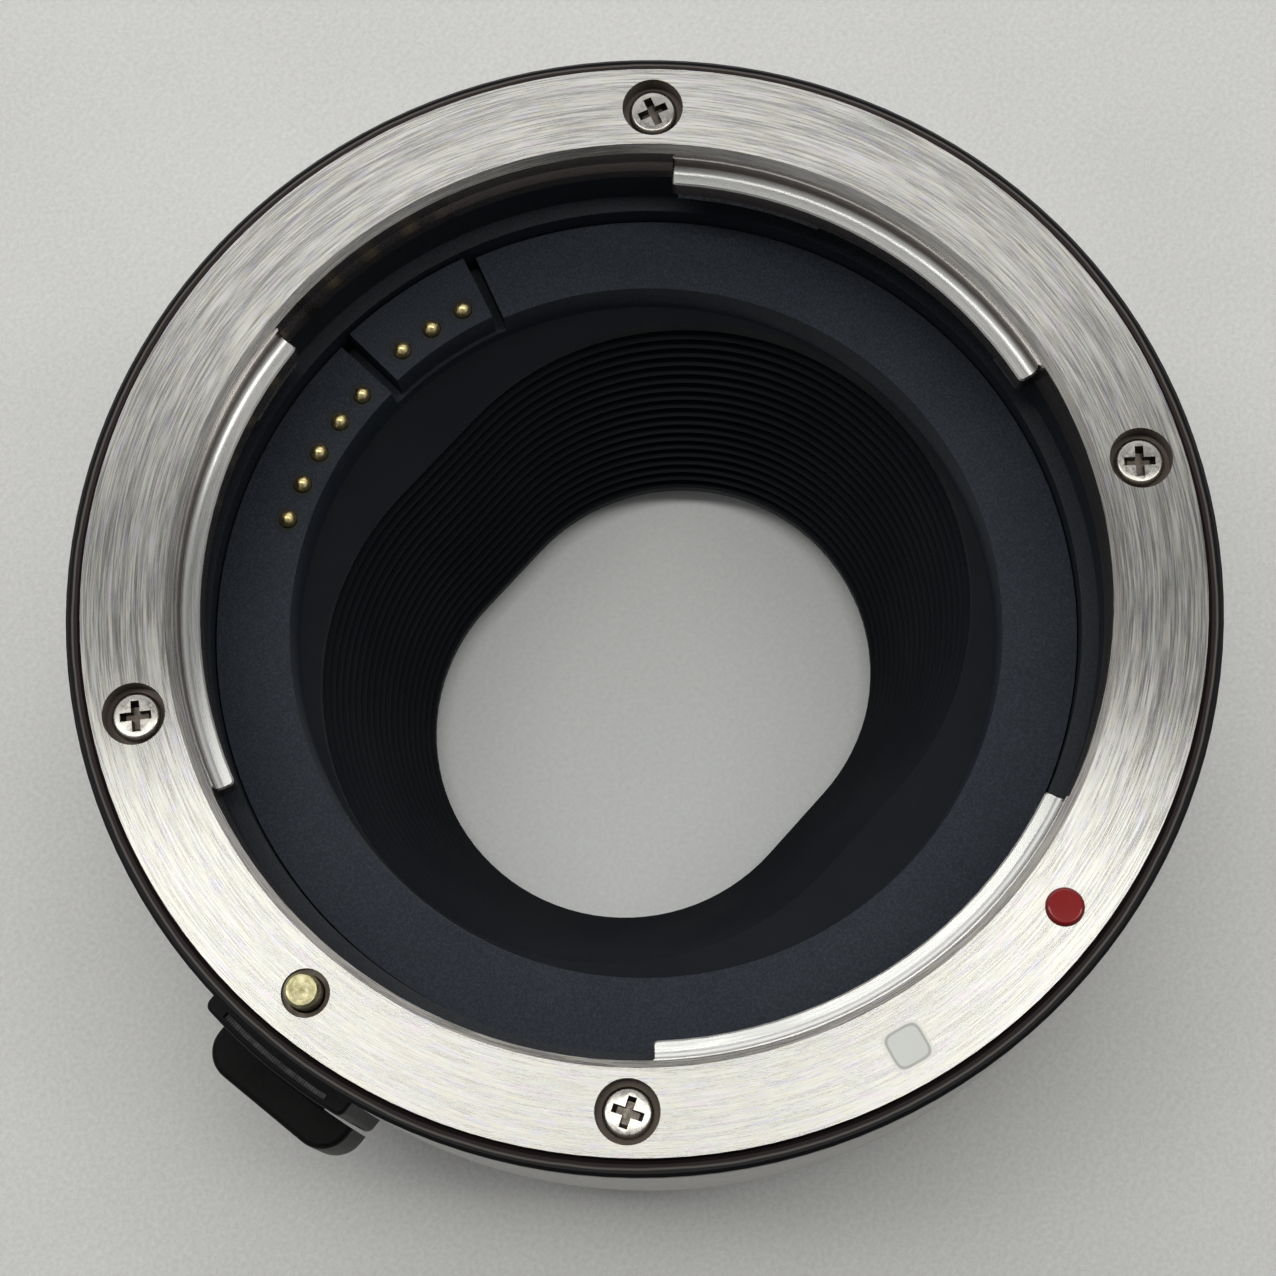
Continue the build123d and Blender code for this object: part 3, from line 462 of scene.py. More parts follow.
@dataclass(frozen=True)
class PlainMetal(Finish):
    """Small metal piece with a soft variation of tone, fine scratches, and, if it was turned, a dark dot at
    its centre painted as the shade of a dimple.
    """

    name: str
    colour: Colour
    shade: Colour
    roughness: float = 0.25
    marks: float = 4000.0
    marks_along: float = 1.5
    centre: Place = (0.0, 0.0)
    grain: Grain = Grain.EVERY_WAY
    mottle: float = 1300.0
    dimple: float = 0.1 * MM
    dimple_rim: float = 0.35 * MM
    depth: float = 0.000004
    bump_strength: float = 0.6

    def material(self) -> bpy.types.Material:
        """Build the metal.

        Returns:
            The new material.
        """
        tree = ShaderTree(self.name)
        tree.set(metallic=1.0)
        share = tree.spread(tree.noise(self.mottle, detail=3.0, roughness=0.6))
        if self.grain is Grain.AROUND_AXIS:
            place = tree.turned_place(self.marks, self.marks_along, self.centre)
            fine = tree.noise(1.0, detail=2.0, roughness=0.6, place=place)
            # Dark dot in the shade colour at the turned centre: painted shade of a dimple.
            dimple = tree.spread(tree.radius(self.centre), 1.0, 0.0, start=self.dimple, end=self.dimple_rim)
            share = tree.math("MAXIMUM", share, dimple)
        else:
            fine = tree.noise(self.marks, detail=3.0, roughness=0.6)
        tree.link(tree.mix(share, self.colour, self.shade), "Base Color")
        tree.link(tree.spread(fine, self.roughness * 0.7, self.roughness * 1.4), "Roughness")
        tree.bump(fine, self.depth, self.bump_strength)
        return tree.material


@dataclass(frozen=True)
class MouldedPlastic(Finish):
    """Black moulded plastic with a fine spark-eroded texture."""

    name: str
    colour: Colour
    fleck: Colour
    roughness: float = 0.6
    texture: float = 6500.0
    depth: float = 0.00002
    specular: float = 0.3
    mottle: float = 160.0
    mottle_roughness: float = 0.05
    bump_strength: float = 0.7

    def material(self) -> bpy.types.Material:
        """Build the plastic.

        Returns:
            The new material.
        """
        tree = ShaderTree(self.name)
        tree.set(specular_ior_level=self.specular)
        fine = tree.noise(self.texture, detail=3.0, roughness=0.65)
        broad = tree.noise(self.mottle, detail=3.0, roughness=0.55)
        flecks = tree.spread(fine, start=0.42, end=0.72)
        tree.link(tree.mix(flecks, self.colour, self.fleck), "Base Color")
        uneven = tree.spread(broad, -self.mottle_roughness, self.mottle_roughness)
        tree.link(tree.math("ADD", uneven, self.roughness), "Roughness")
        tree.bump(fine, self.depth, self.bump_strength)
        return tree.material


@dataclass(frozen=True)
class Lacquer(Finish):
    """Coat of paint or enamel with a slight orange peel."""

    name: str
    colour: Colour
    shade: Colour
    roughness: float = 0.2
    coat: float = 0.0
    coat_roughness: float = 0.05
    metallic: float = 0.0
    specular: float = 0.5
    cloud: float = 260.0
    peel: float = 2200.0
    depth: float = 0.000004
    bump_strength: float = 0.4

    def material(self) -> bpy.types.Material:
        """Build the lacquer.

        Returns:
            The new material.
        """
        tree = ShaderTree(self.name)
        tree.set(metallic=self.metallic, specular_ior_level=self.specular)
        tree.set(coat_weight=self.coat, coat_roughness=self.coat_roughness)
        cloudy = tree.noise(self.cloud, detail=3.0, roughness=0.5)
        peel = tree.noise(self.peel, detail=2.0, roughness=0.5)
        tree.link(tree.mix(tree.spread(cloudy), self.colour, self.shade), "Base Color")
        tree.link(tree.spread(peel, self.roughness * 0.8, self.roughness * 1.25), "Roughness")
        tree.bump(peel, self.depth, self.bump_strength)
        return tree.material


@dataclass(frozen=True)
class MarkEnamel(Finish):
    """Glossy enamel in a pocket of the flange, with a fine dark line of painted shade round its edge and a
    bare border outside that.

    The line's place, half width and fade are shares of the mark's reach, which is half its width. A
    squareness of 2 draws the line as a circle, and more than that as a rounded square.
    """

    name: str
    colour: Colour
    line: Colour
    border: Colour
    centre: Place
    reach: float
    line_at: float
    squareness: float
    turn: float
    coat: float
    coat_roughness: float = 0.08
    roughness: float = 0.35
    specular: float = 0.05
    line_half: float = 0.02
    line_fade: float = 0.09

    def share_of_reach(self, tree: ShaderTree) -> Socket:
        """Distance from the mark's centre, measured along the mark's own outline.

        Args:
            tree: The material's tree.

        Returns:
            The distance's socket, 1 at the mark's edge.
        """
        x, y, _ = tree.parts(tree.place)
        x = tree.math("DIVIDE", tree.math("SUBTRACT", x, self.centre[0]), self.reach)
        y = tree.math("DIVIDE", tree.math("SUBTRACT", y, self.centre[1]), self.reach)
        cosine, sine = math.cos(self.turn), math.sin(self.turn)
        along = tree.math("ADD", tree.math("MULTIPLY", x, cosine), tree.math("MULTIPLY", y, sine))
        across = tree.math("SUBTRACT", tree.math("MULTIPLY", y, cosine), tree.math("MULTIPLY", x, sine))
        along = tree.math("POWER", tree.math("ABSOLUTE", along), self.squareness)
        across = tree.math("POWER", tree.math("ABSOLUTE", across), self.squareness)
        return tree.math("POWER", tree.math("ADD", along, across), 1 / self.squareness)

    def material(self) -> bpy.types.Material:
        """Build the enamel.

        Returns:
            The new material.
        """
        tree = ShaderTree(self.name)
        tree.set(roughness=self.roughness, specular_ior_level=self.specular)
        tree.set(coat_weight=self.coat, coat_roughness=self.coat_roughness)
        share = self.share_of_reach(tree)
        # The line colour is a painted shade along the mark's edge.
        edge_shade = tree.spread(share, start=self.line_at - self.line_fade, end=self.line_at - self.line_half)
        outside = tree.spread(share, start=self.line_at + self.line_half, end=self.line_at + self.line_fade)
        tree.link(tree.mix(outside, tree.mix(edge_shade, self.colour, self.line), self.border), "Base Color")
        return tree.material


@dataclass(frozen=True)
class BezelPaint(Finish):
    """Black paint of the bezel: brownish on its inner half as a painted reflection, a pale line as a painted
    highlight of its chamfer, then glossy black to its foot.
    """

    name: str
    # The inner colour is a painted reflection and the line colour a painted highlight of the chamfer.
    inner: Colour = (0.026, 0.018, 0.018)
    line: Colour = (0.12, 0.11, 0.10)
    outer: Colour = (0.004, 0.0035, 0.005)
    line_radius: float = 32.86 * MM
    line_width: float = 0.09 * MM
    wander: float = 0.03 * MM
    wander_scale: float = 300.0
    inner_roughness: float = 0.45
    outer_roughness: float = 0.32
    specular: float = 0.12
    peel: float = 2200.0
    depth: float = 0.000004
    bump_strength: float = 0.4

    def material(self) -> bpy.types.Material:
        """Build the paint.

        Returns:
            The new material.
        """
        tree = ShaderTree(self.name)
        tree.set(specular_ior_level=self.specular)
        uneven = tree.noise(self.wander_scale, detail=3.0, roughness=0.6)
        wander = tree.spread(uneven, -self.wander, self.wander)
        radius = tree.math("ADD", tree.radius(), wander)
        past = tree.math("GREATER_THAN", radius, self.line_radius)
        off_line = tree.math("ABSOLUTE", tree.math("SUBTRACT", radius, self.line_radius))
        # Pale line round the bezel: painted chamfer highlight; the brownish inner half: painted reflection.
        chamfer_highlight = tree.spread(off_line, 1.0, 0.0, start=self.line_width * 0.2, end=self.line_width)
        tree.link(tree.mix(chamfer_highlight, tree.mix(past, self.inner, self.outer), self.line), "Base Color")
        tree.link(tree.blend(past, self.inner_roughness, self.outer_roughness), "Roughness")
        tree.bump(tree.noise(self.peel, detail=2.0, roughness=0.5), self.depth, self.bump_strength)
        return tree.material


@dataclass(frozen=True)
class PaperTable(Finish):
    """Pale grey table top with a faint mottle, and a paler patch under the adapter's middle that is a painted
    pool of light.
    """

    name: str
    colour: Colour = (0.80, 0.80, 0.79)
    mottle: Colour = (0.65, 0.65, 0.64)
    # Paler colour under the adapter: a painted pool of light.
    pool_light: Colour = (0.96, 0.98, 0.965)
    pool_light_radius: float = 17.0 * MM
    cloud: float = 45.0
    grain: float = 3000.0
    grain_share: float = 0.7
    roughness: float = 0.8
    specular: float = 0.2
    depth: float = 0.00003
    bump_strength: float = 0.4

    def material(self) -> bpy.types.Material:
        """Build the paper.

        Returns:
            The new material.
        """
        tree = ShaderTree(self.name)
        tree.set(roughness=self.roughness, specular_ior_level=self.specular)
        cloud = tree.noise(self.cloud, detail=4.0, roughness=0.6)
        grain = tree.noise(self.grain, detail=4.0, roughness=0.75)
        clouds = tree.spread(cloud, 0.0, 1.0 - self.grain_share)
        grains = tree.spread(grain, 0.0, self.grain_share, start=0.36, end=0.64)
        paper = tree.mix(tree.math("ADD", clouds, grains), self.colour, self.mottle)
        # Paler patch under the adapter's middle: a painted pool of light.
        past_pool = tree.spread(tree.radius(), start=self.pool_light_radius, end=self.pool_light_radius * 1.3)
        kept = tree.mix(tree.spread(grain, 0.0, 0.45, start=0.36, end=0.64), self.pool_light, self.colour)
        tree.link(tree.mix(past_pool, kept, paper), "Base Color")
        tree.bump(grain, self.depth, self.bump_strength)
        return tree.material


def new_piece(name: str, mesh_builder: bmesh.types.BMesh) -> bpy.types.Object:
    """Turn a bmesh into an object of the scene.

    Args:
        name: The piece's name.
        mesh_builder: The mesh, which is freed here.

    Returns:
        The new object.
    """
    mesh = bpy.data.meshes.new(name)
    mesh_builder.to_mesh(mesh)
    mesh_builder.free()
    piece = bpy.data.objects.new(name, mesh)
    bpy.context.scene.collection.objects.link(piece)
    return piece


def add_ring(
    builder: bmesh.types.BMesh, centre: Place, radius: float, level: float, steps: int
) -> list[bmesh.types.BMVert]:
    """Add a level ring of corners.

    Args:
        builder: The mesh that takes it.
        centre: Where its axis stands.
        radius: Its radius.
        level: Its height.
        steps: How many corners it has.

    Returns:
        The corners, in order round the axis.
    """
    ring = []
    for step in range(steps):
        angle = 2 * math.pi * step / steps
        corner = (centre[0] + radius * math.cos(angle), centre[1] + radius * math.sin(angle), level)
        ring.append(builder.verts.new(corner))
    return ring


def add_bush(
    builder: bmesh.types.BMesh,
    centre: Place,
    radii: tuple[float, float],
    top: float,
    height: float,
    steps: int = 40,
) -> None:
    """Add a short tube with an upright axis.

    Args:
        builder: The mesh that takes it.
        centre: Where its axis stands.
        radii: Its inner and its outer radius.
        top: Its top's height.
        height: Its length.
        steps: How many sides it has.
    """
    inner, outer = radii
    profile = ((inner, top - height), (inner, top), (outer, top), (outer, top - height))
    rings = [add_ring(builder, centre, radius, level, steps) for radius, level in profile]
    for near, far in zip(rings, rings[1:] + rings[:1]):
        for step in range(steps):
            after = (step + 1) % steps
            builder.faces.new((near[step], near[after], far[after], far[step]))
    bmesh.ops.recalc_face_normals(builder, faces=builder.faces)


def on_circle(radius: float, angle: float, height: float) -> Vector:
    """Point at a radius and an angle round the optical axis.

    Args:
        radius: The radius, in metres.
        angle: The angle from +X, in degrees.
        height: The height, in metres.

    Returns:
        The point.
    """
    turn = math.radians(angle)
    return Vector((radius * math.cos(turn), radius * math.sin(turn), height))


def middle(node: str) -> Place:
    """Find the upright axis through a node's middle.

    Args:
        node: The node's name.

    Returns:
        The axis's x and y, in metres.
    """
    low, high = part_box(node)
    return (low[0] + high[0]) / 2, (low[1] + high[1]) / 2


def dress(finish: Finish, *nodes: str) -> None:
    """Give nodes of the frame one finish.

    Args:
        finish: The finish.
        nodes: The nodes' names.
    """
    material = finish.material()
    for node in nodes:
        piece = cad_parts[node]
        if not piece.material_slots:
            piece.data.materials.append(material)
        for slot in piece.material_slots:
            slot.material = material
        LOG.info("dressed %s with %s", node, material.name)


def coat(piece: bpy.types.Object, *finishes: Finish) -> None:
    """Give a new piece its finishes.

    Args:
        piece: The piece.
        finishes: Its finishes, in the order of its faces' material numbers.
    """
    for finish in finishes:
        piece.data.materials.append(finish.material())


@dataclass(frozen=True)
class StripLamp:
    """Long ceiling lamp that faces straight down, at places given from the optical axis."""

    heading: float = 125.0
    place: Place = (-0.17, 0.03)
    height: float = 2.4
    length: float = 3.6
    width: float = 0.4
    power: float = 22.0
    colour: Colour = (1.0, 0.995, 0.955)

    def build(self) -> None:
        """Hang the lamp."""
        data = bpy.data.lights.new("ceiling_lamp", "AREA")
        data.shape = "RECTANGLE"
        data.size = self.length
        data.size_y = self.width
        data.energy = self.power
        data.color = self.colour
        lamp = bpy.data.objects.new("ceiling_lamp", data)
        lamp.location = (*self.place, self.height)
        lamp.rotation_euler = (0.0, 0.0, math.radians(self.heading))
        bpy.context.scene.collection.objects.link(lamp)


@dataclass(frozen=True)
class Room:
    """Surroundings: a bright window wall on the far side, dim side walls and a dark near side.

    The far side lies at the photograph's top and the right side at its right. Each share is the
    light for a unit step of the view's direction towards that side, and the far wall's counts from
    its start. Below the low end the room gets dimmer and browner, down to the low share at the low
    start.
    """

    right_heading: float = 135.4
    overhead: float = 0.07
    right_share: float = 0.57
    left_share: float = 0.68
    far_share: float = 3.4
    far_start: float = 0.3
    low_start: float = 0.15
    low_end: float = 0.5
    low_share: float = 0.25
    pale: Colour = (1.0, 1.0, 1.0)
    brown: Colour = (1.0, 0.93, 0.86)

    def build(self) -> None:
        """Light the room."""
        tree = RoomTree("room")
        cosine, sine = math.cos(math.radians(self.right_heading)), math.sin(math.radians(self.right_heading))
        x, y, z = tree.parts(tree.place)
        right = tree.math("ADD", tree.math("MULTIPLY", x, cosine), tree.math("MULTIPLY", y, sine))
        far = tree.math("ADD", tree.math("MULTIPLY", x, -sine), tree.math("MULTIPLY", y, cosine))
        right_wall = tree.math("MULTIPLY", tree.math("MAXIMUM", right, 0.0), self.right_share)
        left_wall = tree.math("MULTIPLY", tree.math("MINIMUM", right, 0.0), -self.left_share)
        past_start = tree.math("MAXIMUM", tree.math("SUBTRACT", far, self.far_start), 0.0)
        far_wall = tree.math("MULTIPLY", past_start, self.far_share)
        walls = tree.math("ADD", tree.math("ADD", right_wall, left_wall), far_wall)
        height = tree.spread(z, self.low_share, 1.0, start=self.low_start, end=self.low_end)
        tree.link(tree.math("MULTIPLY", tree.math("ADD", walls, self.overhead), height), "Strength")
        tree.link(tree.mix(height, self.brown, self.pale), "Color")


@dataclass
class Studio:
    """Camera at the photograph's viewing angle, pale table and the room's light."""

    elevation: float = 75.326
    azimuth: float = 135.4
    roll: float = -7.074
    distance: float = 152.993 * MM
    right: float = -0.150 * MM
    up: float = -3.043 * MM
    focal_length: float = 75.38
    sensor_width: float = 36.0
    nearest: float = 5.0 * MM
    table_level: float = -31.02 * MM
    table_side: float = 3.0
    lamp: StripLamp = field(default_factory=StripLamp)
    room: Room = field(default_factory=Room)

    def build(self) -> None:
        """Build the whole set."""
        self.camera()
        self.table()
        self.lamp.build()
        self.room.build()

    def camera(self) -> None:
        """Place the camera where the photograph was taken."""
        tilt, turn, roll = (math.radians(value) for value in (self.elevation, self.azimuth, self.roll))
        back = Vector((math.sin(turn) * math.cos(tilt), -math.cos(turn) * math.cos(tilt), math.sin(tilt)))
        level = Vector((math.cos(turn), math.sin(turn), 0.0))
        rise = back.cross(level)
        side = level * math.cos(roll) + rise * math.sin(roll)
        top = rise * math.cos(roll) - level * math.sin(roll)
        place = back * self.distance + side * self.right + top * self.up
        data = bpy.data.cameras.new("photo_camera")
        data.sensor_width = self.sensor_width
        data.lens = self.focal_length
        data.clip_start = self.nearest
        camera = bpy.data.objects.new("photo_camera", data)
        camera.matrix_world = Matrix.Translation(place) @ Matrix((side, top, back)).transposed().to_4x4()
        bpy.context.scene.collection.objects.link(camera)
        bpy.context.scene.camera = camera

    def table(self) -> None:
        """Lay the table under the adapter."""
        builder = bmesh.new()
        bmesh.ops.create_grid(builder, x_segments=1, y_segments=1, size=self.table_side / 2)
        table = new_piece("table", builder)
        table.location.z = self.table_level
        coat(table, PaperTable("table_paper"))


@dataclass(frozen=True)
class ScrewPlace:
    """Where one screw sits: its head's top, its turn in degrees, and whether it's driven from below."""

    top: Vector
    turn: float
    from_below: bool = False


@dataclass
class ScrewShape:
    """Sizes of a cross-head screw, in metres."""

    head_radius: float
    head_height: float
    shank_radius: float
    shank_length: float
    edge: float = 0.25 * MM
    countersunk: bool = False
    cross_span: float = 1.85 * MM
    cross_arm: float = 0.5 * MM
    cross_depth: float = 0.6 * MM
    cross_clearance: float = 0.05 * MM
    foot_span_share: float = 0.7
    foot_arm_share: float = 0.8
    recess_top: float = -0.03 * MM
    steps: int = 48
    sharp_angle: float = 28.0

    def profile(self) -> list[tuple[float, float]]:
        """Outline of half the screw.

        Returns:
            Radius and height pairs from the head's centre to the shank's end.
        """
        rim = self.head_radius
        if self.countersunk:
            head = [(rim - self.edge, 0.0), (rim, -self.edge * 0.4)]
            neck = [(self.shank_radius, -(rim - self.shank_radius))]
        else:
            rounding = ((1.0, 0.0), (0.7, 0.06), (0.42, 0.22), (0.2, 0.45), (0.05, 0.75), (0.0, 1.0))
            head = [(rim - self.edge * inward, -self.edge * drop) for inward, drop in rounding]
            neck = [(rim, -self.head_height), (self.shank_radius, -self.head_height)]
        return head + neck + [(self.shank_radius, -self.shank_length)]

    def blank(self) -> bmesh.types.BMesh:
        """Turn the screw, still without its recess.

        Returns:
            The mesh, with its head's top at the origin.
        """
        builder = bmesh.new()
        axis = (0.0, 0.0)
        rings = [add_ring(builder, axis, radius, height, self.steps) for radius, height in self.profile()]
        for upper, lower in zip(rings, rings[1:]):
            for step in range(self.steps):
                after = (step + 1) % self.steps
                builder.faces.new((upper[after], upper[step], lower[step], lower[after]))
        builder.faces.new(rings[0])
        builder.faces.new(list(reversed(rings[-1])))
        bmesh.ops.recalc_face_normals(builder, faces=builder.faces)
        return builder

    def cutter(self) -> bmesh.types.BMesh:
        """Form the recess as two crossed wedges that narrow downwards.

        Returns:
            The mesh to cut away.
        """
        foot_span, foot_arm = self.cross_span * self.foot_span_share, self.cross_arm * self.foot_arm_share
        foot = (foot_span, foot_arm, -self.cross_depth)
        mouth = (self.cross_span, self.cross_arm, self.cross_clearance)
        builder = bmesh.new()
        for turned in (False, True):
            corners = []
            for span, arm, height in (foot, mouth):
                for sx, sy in ((-1, -1), (1, -1), (1, 1), (-1, 1)):
                    x, y = sx * span / 2, sy * arm / 2
                    corners.append(builder.verts.new((y, x, height) if turned else (x, y, height)))
            for ring in ((3, 2, 1, 0), (4, 5, 6, 7), (0, 1, 5, 4), (1, 2, 6, 5), (2, 3, 7, 6), (3, 0, 4, 7)):
                builder.faces.new([corners[i] for i in ring])
        bmesh.ops.recalc_face_normals(builder, faces=builder.faces)
        return builder

    def build(self, name: str) -> bpy.types.Mesh:
        """Build one screw with its head's top at the origin, its recess's faces as material 1, which carries
        a painted shade.

        Args:
            name: The mesh's name.

        Returns:
            The screw's mesh.
        """
        screw = new_piece(f"{name}_blank", self.blank())
        tool = new_piece(f"{name}_tool", self.cutter())
        carve = screw.modifiers.new("cross", "BOOLEAN")
        carve.operation = "DIFFERENCE"
        carve.solver = "EXACT"
        carve.use_self = True
        carve.object = tool
        bpy.context.view_layer.update()
        carved = bpy.data.meshes.new_from_object(screw.evaluated_get(bpy.context.evaluated_depsgraph_get()))
        carved.name = name
        # Faces of the cross recess go to material 1, the painted shade.
        for face in carved.polygons:
            inside = math.hypot(face.center.x, face.center.y) < self.cross_span / 2
            face.material_index = int(inside and -self.cross_depth * 1.01 < face.center.z < self.recess_top)
        for used in (screw, tool):
            bpy.data.objects.remove(used)
        return carved

    def build_set(self, name: str, places: list[ScrewPlace]) -> bpy.types.Object:
        """Copy the screw to its places as a single piece.

        Args:
            name: The piece's name.
            places: Where the screws sit.

        Returns:
            The new piece.
        """
        screw = self.build(name)
        builder = bmesh.new()
        for place in places:
            copy = screw.copy()
            flip = Matrix.Rotation(math.pi, 4, "X") if place.from_below else Matrix.Identity(4)
            turn = Matrix.Rotation(math.radians(place.turn), 4, "Z")
            copy.transform(Matrix.Translation(place.top) @ flip @ turn)
            builder.from_mesh(copy)
            bpy.data.meshes.remove(copy)
        bpy.data.meshes.remove(screw)
        piece = new_piece(name, builder)
        piece.data.shade_smooth()
        piece.data.set_sharp_from_angle(angle=math.radians(self.sharp_angle))
        return piece


@dataclass
class LensMount:
    """The bright flange with its tabs, screws, indices and the black bezel round it."""

    screw_circle: float = 29.8 * MM
    screw_top: float = -0.58 * MM
    screw_turns: dict[float, float] = field(
        default_factory=lambda: {37.15: 20.0, 142.85: 40.0, 217.15: 62.0, 322.85: 45.0}
    )
    screw: ScrewShape = field(
        default_factory=lambda: ScrewShape(
            head_radius=1.43 * MM, head_height=0.65 * MM, shank_radius=0.8 * MM, shank_length=5.0 * MM
        )
    )
    dot_reach: float = 1.1 * MM
    square_reach: float = 1.2 * MM
    square_turn: float = 67.6

    def marks(self) -> None:
        """Fill the red dot and the white square with enamel."""
        # The dot's dark red line and border are painted shade round its edge.
        dark_red = (0.15, 0.004, 0.005)
        red = MarkEnamel(
            "red_enamel",
            colour=(0.25, 0.0045, 0.006),
            line=dark_red,
            border=dark_red,
            centre=middle("red_index_dot"),
            reach=self.dot_reach,
            line_at=0.9,
            squareness=2.0,
            turn=0.0,
            coat=0.7,
        )
        dress(red, "red_index_dot")
        white = MarkEnamel(
            "white_enamel",
            colour=(0.66, 0.675, 0.645),
            # The grey line is a painted shade round the square's edge.
            line=(0.43, 0.42, 0.4),
            border=(0.84, 0.83, 0.79),
            centre=middle("white_index_square"),
            reach=self.square_reach,
            line_at=0.84,
            squareness=4.5,
            turn=math.radians(self.square_turn),
            coat=0.3,
        )
        dress(white, "white_index_square")

    def screws(self) -> None:
        """Build the four screws that hold the flange."""
        places = [
            ScrewPlace(on_circle(self.screw_circle, angle, self.screw_top), turn)
            for angle, turn in self.screw_turns.items()
        ]
        bright = PlainMetal("screw_steel_bright", colour=(0.56, 0.54, 0.5), shade=(0.42, 0.4, 0.37))
        # The dark copy of the steel is a painted shade for the cross recesses.
        dark = PlainMetal(
            "screw_recess_shade", colour=(0.16, 0.14, 0.12), shade=(0.08, 0.07, 0.06), roughness=0.35
        )
        screws = self.screw.build_set("flange_screw_heads", places)
        coat(screws, bright, dark)
        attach(screws, "adapter")
        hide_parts("lens_mount_screws")
        LOG.info("built %s", screws.name)

    def build(self) -> None:
        """Dress the mount and build its screws."""
        dress(TurnedSteel("flange_steel"), "lens_mount_ring")
        leaf = PlainMetal(
            "leaf_spring_steel", colour=(0.55, 0.54, 0.52), shade=(0.45, 0.44, 0.43), roughness=0.3
        )
        dress(leaf, *(f"mount_leaf_spring_{number}" for number in (1, 2, 3)))
        dress(BezelPaint("bezel_black"), "top_bezel")
        self.marks()
        self.screws()


@dataclass
class InnerSleeve:
    """The black sleeve, the contact ring with its raised block, and the ribbed baffle."""

    def build(self) -> None:
        """Dress the sleeve's pieces."""
        sleeve = MouldedPlastic(
            "sleeve_black", colour=(0.009, 0.012, 0.017), fleck=(0.022, 0.028, 0.037), roughness=0.5
        )
        dress(sleeve, "inner_housing", "rear_cover")
        ring = MouldedPlastic(
            "contact_ring_black",
            colour=(0.012, 0.016, 0.024),
            fleck=(0.035, 0.043, 0.060),
            texture=9000.0,
            specular=0.25,
        )
        dress(ring, "contact_ring", "raised_contact_block")
        baffle = MouldedPlastic(
            "baffle_black",
            colour=(0.0018, 0.0035, 0.0065),
            fleck=(0.0035, 0.0062, 0.011),
            texture=9000.0,
            specular=0.17,
        )
        dress(baffle, "light_baffle")
        insulator = MouldedPlastic(
            "insulator_black", colour=(0.02, 0.02, 0.021), fleck=(0.032, 0.032, 0.034), roughness=0.55
        )
        dress(insulator, "contact_carrier", "lever_carriage", "rear_contact_block")


@dataclass
class Contacts:
    """Gold contact pins in their bushes, their springs, the flexible circuit and the camera-side pads."""

    pins: int = 8
    pads: int = 9
    raised_pins: int = 3
    bush_inner: float = 0.57 * MM
    bush_outer: float = 0.79 * MM
    bush_height: float = 0.5 * MM
    bush_sink: float = 0.01 * MM

    def bushes(self) -> None:
        """Set a thin black bush round each pin, level with the face that the pin stands in."""
        builder = bmesh.new()
        for number in range(1, self.pins + 1):
            carrier = "raised_contact_block" if number <= self.raised_pins else "contact_ring"
            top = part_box(carrier)[1][2] - self.bush_sink
            radii = (self.bush_inner, self.bush_outer)
            add_bush(builder, middle(f"contact_pin_{number}"), radii, top, self.bush_height)
        piece = new_piece("contact_pin_bushes", builder)
        black = MouldedPlastic(
            "bush_black", colour=(0.008, 0.009, 0.012), fleck=(0.02, 0.022, 0.028), roughness=0.5
        )
        coat(piece, black)
        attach(piece, "adapter")
        LOG.info("built %s", piece.name)

    def build(self) -> None:
        """Dress the contacts and build their bushes."""
        self.bushes()
        pins = [f"contact_pin_{number}" for number in range(1, self.pins + 1)]
        springs = [f"contact_spring_{number}" for number in range(1, self.pins + 1)]
        pads = [f"rear_contact_pad_{number}" for number in range(1, self.pads + 1)]
        gold = PlainMetal(
            "contact_gold", colour=(0.95, 0.82, 0.45), shade=(0.84, 0.68, 0.31), roughness=0.33
        )
        dress(gold, *pins, *pads)
        coil = PlainMetal("coil_steel", colour=(0.5, 0.5, 0.5), shade=(0.4, 0.4, 0.4), roughness=0.3)
        dress(coil, *springs, "lock_pin_spring")
        film = Lacquer(
            "flex_film", colour=(0.36, 0.15, 0.03), shade=(0.3, 0.12, 0.02), roughness=0.3, coat=0.3
        )
        dress(film, "flex_circuit")


